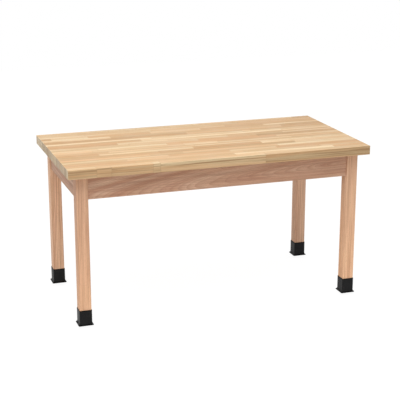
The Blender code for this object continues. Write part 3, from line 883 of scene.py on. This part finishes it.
def stave_layout(length, rows):
    """Every stave of the block: the notable ones, and others of random length between them."""
    chance = random.Random(STAVE_SEED)
    staves = []
    for row in range(rows):
        reached = 0.0
        notable = sorted(stave for stave in NOTABLE_STAVES if stave[0] == row)
        for stave in notable + [(row, length, None, None, None, None)]:
            while stave[1] - reached > LONGEST_STAVE:
                end = reached + chance.uniform(SHORTEST_STAVE, LONGEST_STAVE)
                staves.append(random_stave(chance, row, reached, end))
                reached = end
            if stave[1] - reached > 1e-6:
                staves.append(random_stave(chance, row, reached, stave[1]))
            if stave[2] is not None:
                staves.append(stave)
                reached = stave[2]
    return staves


def mark_staves(top, staves, low):
    """Write each face's stave into its corners: tone, warmth, figure, heartwood, span and seed."""
    chance = random.Random(STAVE_SEED + 1)
    rows = {}
    for row, start, end, dark, pink, strip in staves:
        tint = (dark, pink, chance.uniform(0.15, 1.0), strip)
        span = (start, end, chance.uniform(1, 90), 1.0)
        rows.setdefault(row, []).append((start, end, tint, span))
    tints = top.data.attributes.new("stave_tint", "FLOAT_COLOR", "CORNER")
    spans = top.data.attributes.new("stave_span", "FLOAT_COLOR", "CORNER")
    for face in top.data.polygons:
        row = min(max(int((face.center.y - low.y) / STAVE_WIDTH), 0), len(rows) - 1)
        reach = face.center.x - low.x
        for start, end, tint, span in rows[row]:
            if start <= reach <= end:
                break
        for corner in face.loop_indices:
            tints.data[corner].color = tint
            spans.data[corner].color = span


def model_block_top():
    """The slab with eased edges and pilot holes, its faces split along every stave's outline."""
    low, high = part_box("butcher_block_top")
    rows = round((high.y - low.y) / STAVE_WIDTH)
    staves = stave_layout(high.x - low.x, rows)
    top = block("block_top", low, high)
    round_edges(top, TOP_EDGE_RADIUS, 4, lambda edge: True)
    for tail in CLIP_TAILS:
        place = middle_of("clip_screw_" + tail)
        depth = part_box("clip_screw_" + tail)[1].z - low.z + PILOT_SPARE
        drill(top, (place.x, place.y, low.z), (0, 0, 1), PILOT_HOLE, 2 * depth, sides=24)
    start_editing(top, "FACE")
    for row in range(1, rows):
        bpy.ops.mesh.select_all(action="SELECT")
        line = (0, low.y + row * STAVE_WIDTH, 0)
        bpy.ops.mesh.bisect(plane_co=line, plane_no=(0, 1, 0), threshold=1e-6)
    for row, start in (stave[:2] for stave in staves):
        if start > 0:
            middle = low.y + (row + 0.5) * STAVE_WIDTH
            reach = STAVE_WIDTH / 2 + 0.001
            select_parts(top, "faces", lambda face: abs(face.calc_center_median().y - middle) < reach)
            bpy.ops.mesh.bisect(plane_co=(low.x + start, 0, 0), plane_no=(1, 0, 0), threshold=1e-6)
    select_only()
    mark_staves(top, staves, low)
    shade(top)
    finish_piece(top, "table", "top_wood", stave_material(), "butcher_block_top")


# Legs and aprons
def leg_template():
    """Leg in its corner's axes: outer corner of the frame at the origin, +X and +Y inwards."""
    low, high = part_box("leg_front_left")
    width = high.x - low.x
    leg = block("leg_template", (0, 0, low.z), (width, width, high.z))
    round_edges(leg, LEG_EDGE_RADIUS, 6, lambda edge: runs_along(edge, 2))
    diagonal = Vector((1, 1, 0)).normalized()
    flat = (2 * width - LEG_FLAT_CUT) / math.sqrt(2)
    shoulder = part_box("apron_front")[0].z
    saw = block("flat_saw", (flat, -width, shoulder), (flat + width, width, high.z + SAW_SPARE))
    saw.data.transform(turn_about_z(45))
    cut_away(leg, saw)
    for level in LEVELS:
        mouth = diagonal * flat + Vector((0, 0, middle_of(f"hanger_bolt_{level}_front_left").z))
        drill(leg, mouth, diagonal, BOLT_HOLE, 2 * BOLT_BORE_DEPTH)
    drill(leg, (width / 2, width / 2, low.z), (0, 0, 1), BUSH_BORE, 2 * BUSH_BORE_DEPTH)
    ease_edges(leg, 0.0004)
    return leg


def model_legs():
    """Four legs, each cut from its own place in the tree: pith, seed and figure, with two tints of
    painted light and shade.
    """
    template = leg_template()
    grown = {
        # The two tints, at the foot and at the top, are painted light and shade: the front legs darker
        # at the top in the slab's shadow and paler at the foot where the floor lights them, the rear
        # legs tinted cool like shade.
        "front_left": ((0.080, -0.050), 23.9, 0.30, (252, 247, 239), (235, 231, 229)),
        "front_right": ((-0.065, -0.050), 17.4, 0.30, (268, 267, 258), (244, 244, 242)),
        "rear_right": ((0.070, 0.060), 29.2, 0.35, (257, 263, 269), (257, 263, 269)),
        "rear_left": ((-0.050, 0.080), 41.7, 0.35, (261, 263, 263), (261, 263, 263)),
    }
    for corner, (pith, seed, figure, *tints) in grown.items():
        node = "leg_" + corner
        tints = [srgb(*tint) for tint in tints]
        wood = oak_material(
            node, "Z", pith, lean=(0.012, -0.015), seed=seed,
            ring_width=0.0060, wander=0.012, figure=figure, tints=tints,
        )
        place_copy(template, "leg_post_" + corner, corner_place(corner), ("leg_wood", wood), node)
    bpy.data.objects.remove(template)


def model_apron(side, degrees, wood):
    """Apron in its own axes, with its outer face on Y = 0, and then turned to its side."""
    low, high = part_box("apron_" + side)
    along = 0 if side in ("front", "rear") else 1
    half = (high[along] - low[along]) / 2
    inner = APRON_THICKNESS
    board = block("apron_board_" + side, (-half, 0, low.z), (half, inner, high.z))
    round_edges(
        board, APRON_EDGE_RADIUS, 5,
        lambda edge: runs_along(edge, 0) and edge.verts[0].co.z < low.z + 0.0001,
    )
    groove_top = high.z + FIT_GAP - GROOVE_DROP
    groove_low = (-half - SAW_SPARE, inner - GROOVE_DEPTH, groove_top - GROOVE_HEIGHT)
    groove_high = (half + SAW_SPARE, inner + SAW_SPARE, groove_top)
    cut_away(board, block("groove_saw", groove_low, groove_high))
    bracket = "corner_bracket_front_left"
    kerf = abs(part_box(bracket)[1][along] - BRACKET_THICKNESS / 2)
    screws = kerf + BRACKET_WING / 2
    for end in (-1, 1):
        kerf_low = (end * kerf - KERF_WIDTH / 2, inner - KERF_DEPTH, low.z - SAW_SPARE)
        kerf_high = (end * kerf + KERF_WIDTH / 2, inner + SAW_SPARE, high.z + SAW_SPARE)
        cut_away(board, block("kerf_saw", kerf_low, kerf_high))
        for rise in BRACKET_SCREW_RISES:
            mouth = (end * screws, inner, middle_of(bracket).z + rise)
            drill(board, mouth, (0, 1, 0), PILOT_HOLE, 2 * PILOT_DEPTH)
    ease_edges(board, EASED_EDGE)
    turn = turn_about_z(degrees)
    middle = (low + high) / 2
    outer = Vector((middle.x, middle.y, 0)) + turn @ Vector((0, -APRON_THICKNESS / 2, 0))
    board.data.transform(Matrix.Translation(outer) @ turn)
    shade(board)
    finish_piece(board, "table", "apron_wood", wood, "apron_" + side)


def model_aprons():
    """Four aprons, each with its turn, its grain's axis, its pith, the pith's lean, and its seed."""
    grown = {
        "front": (0, "X", (0.052, -0.030), (-0.100, 0.070), 5.3),
        "rear": (180, "X", (-0.030, -0.060), (0.020, -0.040), 19.9),
        "left": (-90, "Y", (0.025, 0.050), (0.015, 0.030), 31.3),
        "right": (90, "Y", (-0.020, -0.045), (-0.010, 0.035), 47.6),
    }
    for side, (degrees, grain, pith, lean, seed) in grown.items():
        # Each apron's tint darkens its tone and paints a cool shade hue over it.
        wood = oak_material(
            "apron_" + side, grain, pith, lean, seed,
            ring_width=0.0052, wander=0.030, figure=1.0, tints=(OAK_DEEP_AND_COOL_SHADE, OAK_DEEP_AND_COOL_SHADE),
        )
        model_apron(side, degrees, wood)


# Leg boots
def model_boot(corner):
    """A square sleeve with a rolled lip and a foot that sweeps out in a cove."""
    low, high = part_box("leg_boot_" + corner)
    centre = ((low.x + high.x) / 2, (low.y + high.y) / 2)
    foot = (high.x - low.x) / 2
    outer = foot - BOOT_FLANGE
    inner = outer - BOOT_WALL
    top = high.z
    lip = BOOT_WALL / 2
    tip = BOOT_TIP_RADIUS
    sweep = BOOT_COVE_HEIGHT - BOOT_TIP_THICKNESS
    profile = [(inner, 0.0), (inner, top - lip)]
    profile += arc((inner + lip, top - lip), lip, 180, 0, 8)[1:]
    profile += [(outer, top * 0.6), (outer, BOOT_COVE_HEIGHT + 0.010)]
    for reach, rise in arc((0.0, 0.0), 1.0, 0, 90, 12):
        profile.append((outer + (BOOT_FLANGE - 0.0004) * (1 - reach), BOOT_COVE_HEIGHT - sweep * rise))
    profile += arc((foot - tip, BOOT_TIP_THICKNESS - tip), tip, 60, 0, 3)
    profile += arc((foot - tip, tip), tip, 0, -90, 4)
    plane = bpy.ops.mesh.primitive_plane_add
    boot = add_primitive(plane, "boot_" + corner, size=2 * inner, location=(*centre, 0.0))
    start_editing(boot)
    radius = BOOT_CORNER_RADIUS * inner / outer
    bpy.ops.mesh.bevel(offset=radius, segments=6, affect="VERTICES", profile=0.5)
    bpy.ops.mesh.select_all(action="SELECT")
    bpy.ops.mesh.delete(type="ONLY_FACE")
    bpy.ops.mesh.select_mode(type="EDGE")
    bpy.ops.mesh.select_all(action="SELECT")
    sweep_rings(profile, centre)
    bpy.ops.mesh.select_all(action="DESELECT")
    bpy.ops.mesh.select_non_manifold()
    bpy.ops.mesh.bridge_edge_loops()
    finish_editing()
    shade(boot, 50)
    vinyl = vinyl_material(corner, top)
    finish_piece(boot, "boot_body_" + corner, "boot_vinyl", vinyl, "leg_boot_" + corner)


# Levelling glides
def glide_pad_template():
    """A round pad with a soft rim, a raised collar and the socket that holds the screw's ball."""
    low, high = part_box("glide_pad_front_left")
    rim = (high.x - low.x) / 2
    height = high.z
    mouth = math.degrees(math.asin((height - BALL_HEIGHT) / SOCKET_RADIUS))
    profile = [(0.0040, 0.0008), (0.0046, 0.0), (rim - 0.0030, 0.0)]
    profile += arc((rim - 0.0008, 0.0008), 0.0008, -90, 0, 5)
    profile += arc((rim - 0.0008, 0.0024), 0.0008, 0, 80, 5)
    profile += [(rim - 0.0040, 0.0042), (SOCKET_RADIUS + 0.0022, height - 0.0008)]
    profile += arc((SOCKET_RADIUS + 0.0012, height - 0.0006), 0.0006, 60, 120, 3)
    profile += arc((0.0, BALL_HEIGHT), SOCKET_RADIUS, mouth, -80, 10)
    return turned("glide_pad_template", profile, 64)


def glide_screw_template():
    """Ball, neck, chamfered hexagonal collar and threaded stem, round the Z axis."""
    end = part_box("glide_screw_front_left")[1].z
    throat = math.degrees(math.acos(NECK_RADIUS / BALL_RADIUS))
    root = NECK_RADIUS + 0.0006
    profile = arc((0.0, BALL_HEIGHT), BALL_RADIUS, -82, throat, 12)
    profile += [(NECK_RADIUS, COLLAR_LOW - 0.0004), (root, COLLAR_LOW + 0.0006)]
    profile += [(root, COLLAR_HIGH - 0.001)]
    spindle = turned("glide_screw_template", profile, 40)
    cut_away(spindle, chamfered_hexagon("glide_collar", COLLAR_LOW, COLLAR_HIGH, True, True), "UNION")
    radius = BOLT_DIAMETER / 2
    clear = radius + THREAD_CLEARANCE
    envelope = [
        (radius - 0.0008, COLLAR_HIGH - 0.001), (radius - 0.0008, COLLAR_HIGH + 0.0012),
        (clear, COLLAR_HIGH + 0.0022), (clear, end - 0.0014), (radius - 0.0012, end),
    ]
    cut_away(spindle, machine_thread("glide_stem", envelope), "UNION")
    return spindle


def glide_insert_template():
    """A flanged steel bush with rounded edges, modelled round the leg's centre line."""
    low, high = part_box("glide_insert_front_left")
    flange = (high.x - low.x) / 2
    seat = low.z + BUSH_FLANGE_THICKNESS
    profile = [
        (BUSH_MOUTH_RADIUS, low.z), (flange - 0.0005, low.z), (flange, low.z + 0.0005),
        (flange, seat - 0.0003), (flange - 0.0003, seat), (BUSH_RADIUS, seat),
        (BUSH_RADIUS, high.z - 0.001), (BUSH_RADIUS - 0.0006, high.z), (BUSH_MOUTH_RADIUS, high.z),
    ]
    bush = turned("glide_insert_template", profile, 48)
    drill(bush, (0, 0, (low.z + high.z) / 2), (0, 0, 1), BUSH_DRILL, 0.06, sides=48)
    return bush


def model_glides(bright, zinc):
    """A pad, a screw and a bush at each leg, turned square to it."""
    nylon = ("glide_nylon", nylon_material())
    kinds = (
        (glide_pad_template(), nylon, "glide_foot_", "glide_pad_", "glide_pad_body_"),
        (glide_screw_template(), bright, "glide_stem_", "glide_screw_", "glide_screw_body_"),
        (glide_insert_template(), zinc, "glide_bush_", "glide_insert_", None),
    )
    for template, finish, name, node, body in kinds:
        for corner in CORNERS:
            middle = middle_of("leg_" + corner)
            low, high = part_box(node + corner)
            turn = 0 if high.x - low.x >= high.y - low.y - 1e-6 else 90
            place = Matrix.Translation((middle.x, middle.y, 0)) @ turn_about_z(turn)
            rides_on = body + corner if body else "table"
            place_copy(template, name + corner, place, finish, node + corner, body=rides_on)
        bpy.data.objects.remove(template)


# Hanger bolts and flange nuts
def reach_along(node, start, direction):
    """How far a node's solid reaches from a point along a direction: nearest and farthest."""
    spans = [(vertex.co - start).dot(direction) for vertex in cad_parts[node].data.vertices]
    return min(spans), max(spans)


def hanger_bolt_template(length):
    """Lag thread to its point at one end, machine thread at the other, plain between."""
    radius = BOLT_DIAMETER / 2
    clear = radius + THREAD_CLEARANCE
    lag_shape = [(0.0014, 0.0), (clear, 0.007), (clear, LAG_END), (radius - 0.0011, LAG_END + 0.0014)]
    bolt = threaded_rod("hanger_bolt_template", radius, LAG_THREAD_DEPTH, LAG_PITCH, lag_shape)
    shank_shape = [
        (radius - 0.0013, LAG_END - 0.004), (radius - 0.0013, LAG_END),
        (radius - 0.0004, LAG_END + 0.001), (radius - 0.0004, MACHINE_START - 0.001),
        (radius - 0.0011, MACHINE_START), (radius - 0.0011, MACHINE_START + 0.003),
    ]
    cut_away(bolt, turned("bolt_shank", shank_shape, 32), "UNION")
    machine_shape = [
        (radius - 0.0008, MACHINE_START - 0.0003), (clear, MACHINE_START + 0.001),
        (clear, length - 0.0014), (radius - 0.0012, length),
    ]
    cut_away(bolt, machine_thread("bolt_machine_thread", machine_shape), "UNION")
    return bolt


def flange_nut_template(height):
    """A hexagonal nut on a cone flange with a rounded rim."""
    flange = NUT_FLANGE_RADIUS
    cone = NUT_FLANGE_THICKNESS
    profile = [(flange - 0.0006, 0.0), (flange, 0.0004), (flange, 0.0008), (flange - 0.0004, 0.0012)]
    profile += [(HEXAGON_WIDTH / 2, cone + 0.0004), (HEXAGON_WIDTH / 2 - 0.001, cone + 0.001)]
    nut = turned("flange_nut_template", profile, 64)
    cut_away(nut, chamfered_hexagon("nut_hexagon", 0.0008, height, False, True), "UNION")
    bore = BOLT_DIAMETER / 2 + FIT_GAP
    mouth = bore + 0.0012
    bore_shape = [(mouth, -0.0002), (bore, 0.001), (bore, height - 0.001), (mouth, height + 0.0002)]
    cut_away(nut, turned("nut_drill", bore_shape, 40))
    return nut


def leg_diagonal(corner):
    """A leg's centre in plan, and the direction from it into the table."""
    middle = middle_of("leg_" + corner)
    side = outer_corner(corner)[1]
    return Vector((middle.x, middle.y, 0)), -side.normalized()


def model_bolts_and_nuts(bright):
    """Two hanger bolts to a leg, each with its nut, along the leg's diagonal."""
    start, end = reach_along("hanger_bolt_lower_front_left", *leg_diagonal("front_left"))
    seat, crown = reach_along("flange_nut_lower_front_left", *leg_diagonal("front_left"))
    bolt = hanger_bolt_template(end - start)
    nut = flange_nut_template(crown - seat)
    kinds = ((bolt, "leg_bolt_", "hanger_bolt_", start), (nut, "leg_nut_", "flange_nut_", seat))
    for corner in CORNERS:
        axis_point, inward = leg_diagonal(corner)
        for level in LEVELS:
            tail = f"{level}_{corner}"
            rise = Vector((0, 0, middle_of("hanger_bolt_" + tail).z))
            for template, name, node, reach in kinds:
                place = Matrix.Translation(axis_point + rise + inward * reach) @ turn_towards(inward)
                place_copy(template, name + tail, place, bright, node + tail)
    bpy.data.objects.remove(bolt)
    bpy.data.objects.remove(nut)


# Pressed steel: corner brackets and top clips
def bracket_template():
    """Bracket in its corner's axes: outer corner of the frame at the origin, +X and +Y inwards."""
    low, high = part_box("corner_bracket_front_left")
    wing_line = APRON_INNER_FACE + FIT_GAP + BRACKET_THICKNESS / 2
    end = high.x - outer_corner("front_left")[0].x - BRACKET_THICKNESS / 2
    bend = end - BRACKET_WING
    lip = APRON_INNER_FACE - LIP_DEPTH
    half = [(end, lip), (end, wing_line), (bend, wing_line)]
    path = half + [(y, x) for x, y in reversed(half)]
    folds = [LIP_BEND_RADIUS, BRACKET_BEND_RADIUS, BRACKET_BEND_RADIUS, LIP_BEND_RADIUS]
    bracket = folded_strip("bracket_template", path, high.z - low.z, BRACKET_THICKNESS, folds)
    bracket.data.transform(Matrix.Translation((0, 0, low.z)))
    plate = (wing_line + bend) / 2
    for level in LEVELS:
        height = middle_of(f"hanger_bolt_{level}_front_left").z
        drill(bracket, (plate, plate, height), (1, 1, 0), BOLT_HOLE)
    wing_middle = (bend + end) / 2
    for rise in BRACKET_SCREW_RISES:
        height = (low.z + high.z) / 2 + rise
        drill(bracket, (wing_middle, wing_line, height), (0, 1, 0), SCREW_HOLE)
        drill(bracket, (wing_line, wing_middle, height), (1, 0, 0), SCREW_HOLE)
    ease_edges(bracket, EASED_EDGE, 50)
    return bracket


def model_brackets(zinc):
    template = bracket_template()
    for corner in CORNERS:
        place = corner_place(corner)
        place_copy(template, "corner_plate_" + corner, place, zinc, "corner_bracket_" + corner)
    bpy.data.objects.remove(template)


def clip_template():
    """Clip in side view: its tongue reaches -Y into the groove and its pad +Y under the top."""
    low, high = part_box("top_clip_front_left")
    rise = high.z - low.z - CLIP_THICKNESS
    web = CLIP_WEB_OFFSET + CLIP_THICKNESS / 2
    base = low.z + CLIP_THICKNESS / 2
    path = [(-CLIP_TONGUE, 0.0), (web, 0.0), (web, rise), (web + CLIP_PAD, rise)]
    width = high.x - low.x
    clip = folded_strip("clip_template", path, width, CLIP_THICKNESS, [CLIP_BEND_RADIUS] * 2)
    clip.data.transform(Matrix(((0, 0, 1, -width / 2), (1, 0, 0, 0), (0, 1, 0, base), (0, 0, 0, 1))))
    drill(clip, (0, web + CLIP_HOLE_REACH, base + rise), (0, 0, 1), SCREW_HOLE)
    ease_edges(clip, EASED_EDGE, 50)
    return clip


def model_clips(zinc):
    """Six clips, their tongues in the aprons' groove, each turned to its side of the table."""
    template = clip_template()
    turns = {"front": 0, "rear": 180, "left": -90, "right": 90}
    shift = (CLIP_WEB_OFFSET + CLIP_THICKNESS / 2 + CLIP_PAD - CLIP_TONGUE) / 2
    for tail in CLIP_TAILS:
        middle = middle_of("top_clip_" + tail)
        turn = turn_about_z(turns[tail.split("_")[0]])
        origin = Vector((middle.x, middle.y, 0)) - turn @ Vector((0, shift, 0))
        place = Matrix.Translation(origin) @ turn
        place_copy(template, "top_cleat_" + tail, place, zinc, "top_clip_" + tail)
    bpy.data.objects.remove(template)


# Screws
def screw_template():
    """A pan-head wood screw with a cross recess: head below the origin, point up."""
    shank = SCREW_DIAMETER / 2
    radius, height = SCREW_HEAD_RADIUS, SCREW_HEAD_HEIGHT
    dome = ((0.30, 1.0), (0.62, 0.95), (0.86, 0.74), (0.97, 0.48), (1.0, 0.22), (0.97, 0.0))
    profile = [(radius * reach, -height * drop) for reach, drop in dome]
    profile += [(shank * 0.65, 0.0), (shank * 0.65, 0.001)]
    screw = turned("wood_screw_template", profile, 40)
    for narrow in ((1, 0.24, 1), (0.24, 1, 1)):
        recess = add_primitive(
            bpy.ops.mesh.primitive_cone_add, "cross_recess",
            vertices=4, radius1=radius * 0.58, radius2=radius * 0.20, depth=height * 0.8,
            location=(0, 0, -height * 0.65), rotation=(0, 0, math.radians(45)),
        )
        recess.data.transform(Matrix.Diagonal((*narrow, 1)))
        cut_away(screw, recess)
    clear = shank + THREAD_CLEARANCE
    envelope = [
        (shank * 0.80, 0.0005), (clear, 0.0015),
        (clear, SCREW_LENGTH - 0.004), (0.0002, SCREW_LENGTH),
    ]
    thread = threaded_rod("screw_thread", shank, SCREW_THREAD_DEPTH, SCREW_PITCH, envelope, sides=16)
    cut_away(screw, thread, "UNION")
    return screw


def model_clip_screws(template, bright):
    for tail in CLIP_TAILS:
        low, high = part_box("clip_screw_" + tail)
        middle = (low + high) / 2
        place = Matrix.Translation((middle.x, middle.y, high.z - SCREW_LENGTH))
        place_copy(template, "top_screw_" + tail, place, bright, "clip_screw_" + tail)


def model_bracket_screws(template, bright):
    """Four screws hold each bracket's wings to the two aprons."""
    seat = APRON_INNER_FACE + FIT_GAP + BRACKET_THICKNESS + THREAD_CLEARANCE
    for corner in CORNERS:
        outer, side = outer_corner(corner)
        low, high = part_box("corner_bracket_" + corner)
        end = APRON_INNER_FACE - LIP_DEPTH + high.x - low.x - BRACKET_THICKNESS / 2
        reach = end - BRACKET_WING / 2
        wings = (("x", (reach, seat), (0, side.y, 0)), ("y", (seat, reach), (side.x, 0, 0)))
        for wing, (across, inward), direction in wings:
            for level, rise in zip(LEVELS, BRACKET_SCREW_RISES):
                height = (low.z + high.z) / 2 + rise
                point = outer + Vector((-side.x * across, -side.y * inward, height))
                place = Matrix.Translation(point) @ turn_towards(direction)
                place_copy(template, f"bracket_screw_{corner}_{wing}_{level}", place, bright)


# Floor, light and camera
def seen_share(tree):
    """1 to the camera, and in reflections and through glass."""
    kinds = ("Camera", "Glossy", "Transmission")
    camera, glossy, through = (add_node(tree, "LightPath", {}, f"Is {kind} Ray") for kind in kinds)
    return greatest(greatest(camera, glossy), through)


def make_floor():
    """A pale floor, white to the camera except for the table's soft shadow, and clear from below.

    It lies just under the lowest place that the glides and the boots can reach.
    """
    plane = bpy.ops.mesh.primitive_plane_add
    floor = add_primitive(plane, "floor", size=FLOOR_SIZE, location=(0, 0, FLOOR_LEVEL))
    material = bpy.data.materials.new("pale_floor")
    material.use_nodes = True
    tree = material.node_tree
    tree.nodes.clear()
    matte = add_node(tree, "BsdfDiffuse", {"Color": FLOOR_PALE})
    glow = add_node(tree, "Emission", {"Color": WHITE, "Strength": FLOOR_GLOW})
    lit = add_node(tree, "MixShader", {0: seen_share(tree) * FLOOR_GLOW_SHARE, 1: matte, 2: glow})
    camera = add_node(tree, "LightPath", {}, "Is Camera Ray")
    hidden = add_node(tree, "NewGeometry", {}, "Backfacing") * camera
    surface = add_node(tree, "MixShader", {0: hidden, 1: lit, 2: add_node(tree, "BsdfTransparent", {})})
    join(surface, tree.nodes.new("ShaderNodeOutputMaterial").inputs["Surface"])
    floor.data.materials.append(material)


def make_world():
    """White to the camera and in reflections. As light it is a dome, brighter overhead."""
    world = bpy.data.worlds.new("studio")
    bpy.context.scene.world = world
    world.use_nodes = True
    tree = world.node_tree
    above = greatest(parts(add_node(tree, "TexCoord", {}, "Generated"))[2], 0.0)
    dome = above * above * DOME_ZENITH + DOME_HORIZON
    strength = add_node(tree, "Mix", {0: seen_share(tree), 2: dome, 3: 1.0}, data_type="FLOAT")
    sky = tree.nodes["Background"]
    join(WHITE, sky.inputs["Color"])
    join(strength, sky.inputs["Strength"])


def stand(item, place):
    """Put a lamp or a camera at its place, facing the middle of the table."""
    item.location = place
    item.rotation_euler = (AIM - Vector(place)).to_track_quat("-Z", "Y").to_euler()
    bpy.context.collection.objects.link(item)


def add_overhead_light():
    """A square area light that no camera or gloss sees."""
    data = bpy.data.lights.new("overhead_light", "AREA")
    data.shape = "SQUARE"
    data.size = OVERHEAD_SIZE
    data.energy = OVERHEAD_POWER
    lamp = bpy.data.objects.new("overhead_light", data)
    lamp.visible_camera = False
    lamp.visible_glossy = False
    stand(lamp, OVERHEAD_PLACE)


def make_camera():
    level = math.cos(CAMERA_ELEVATION)
    back = Vector((
        math.sin(CAMERA_AZIMUTH) * level, -math.cos(CAMERA_AZIMUTH) * level, math.sin(CAMERA_ELEVATION),
    ))
    data = bpy.data.cameras.new("photo_camera")
    data.lens = CAMERA_LENS
    data.sensor_width = SENSOR_WIDTH
    data.sensor_fit = "HORIZONTAL"
    camera = bpy.data.objects.new("photo_camera", data)
    stand(camera, AIM + back * CAMERA_DISTANCE)
    bpy.context.scene.camera = camera


def build_table():
    bright = ("bright_steel", bright_steel_material())
    zinc = ("zinc_steel", zinc_material())
    model_block_top()
    model_legs()
    model_aprons()
    for corner in CORNERS:
        model_boot(corner)
    model_glides(bright, zinc)
    model_bolts_and_nuts(bright)
    model_brackets(zinc)
    model_clips(zinc)
    screw = screw_template()
    model_clip_screws(screw, bright)
    model_bracket_screws(screw, bright)
    bpy.data.objects.remove(screw)


make_camera()
make_world()
make_floor()
add_overhead_light()
build_table()
bpy.context.scene.view_settings.view_transform = "Standard"
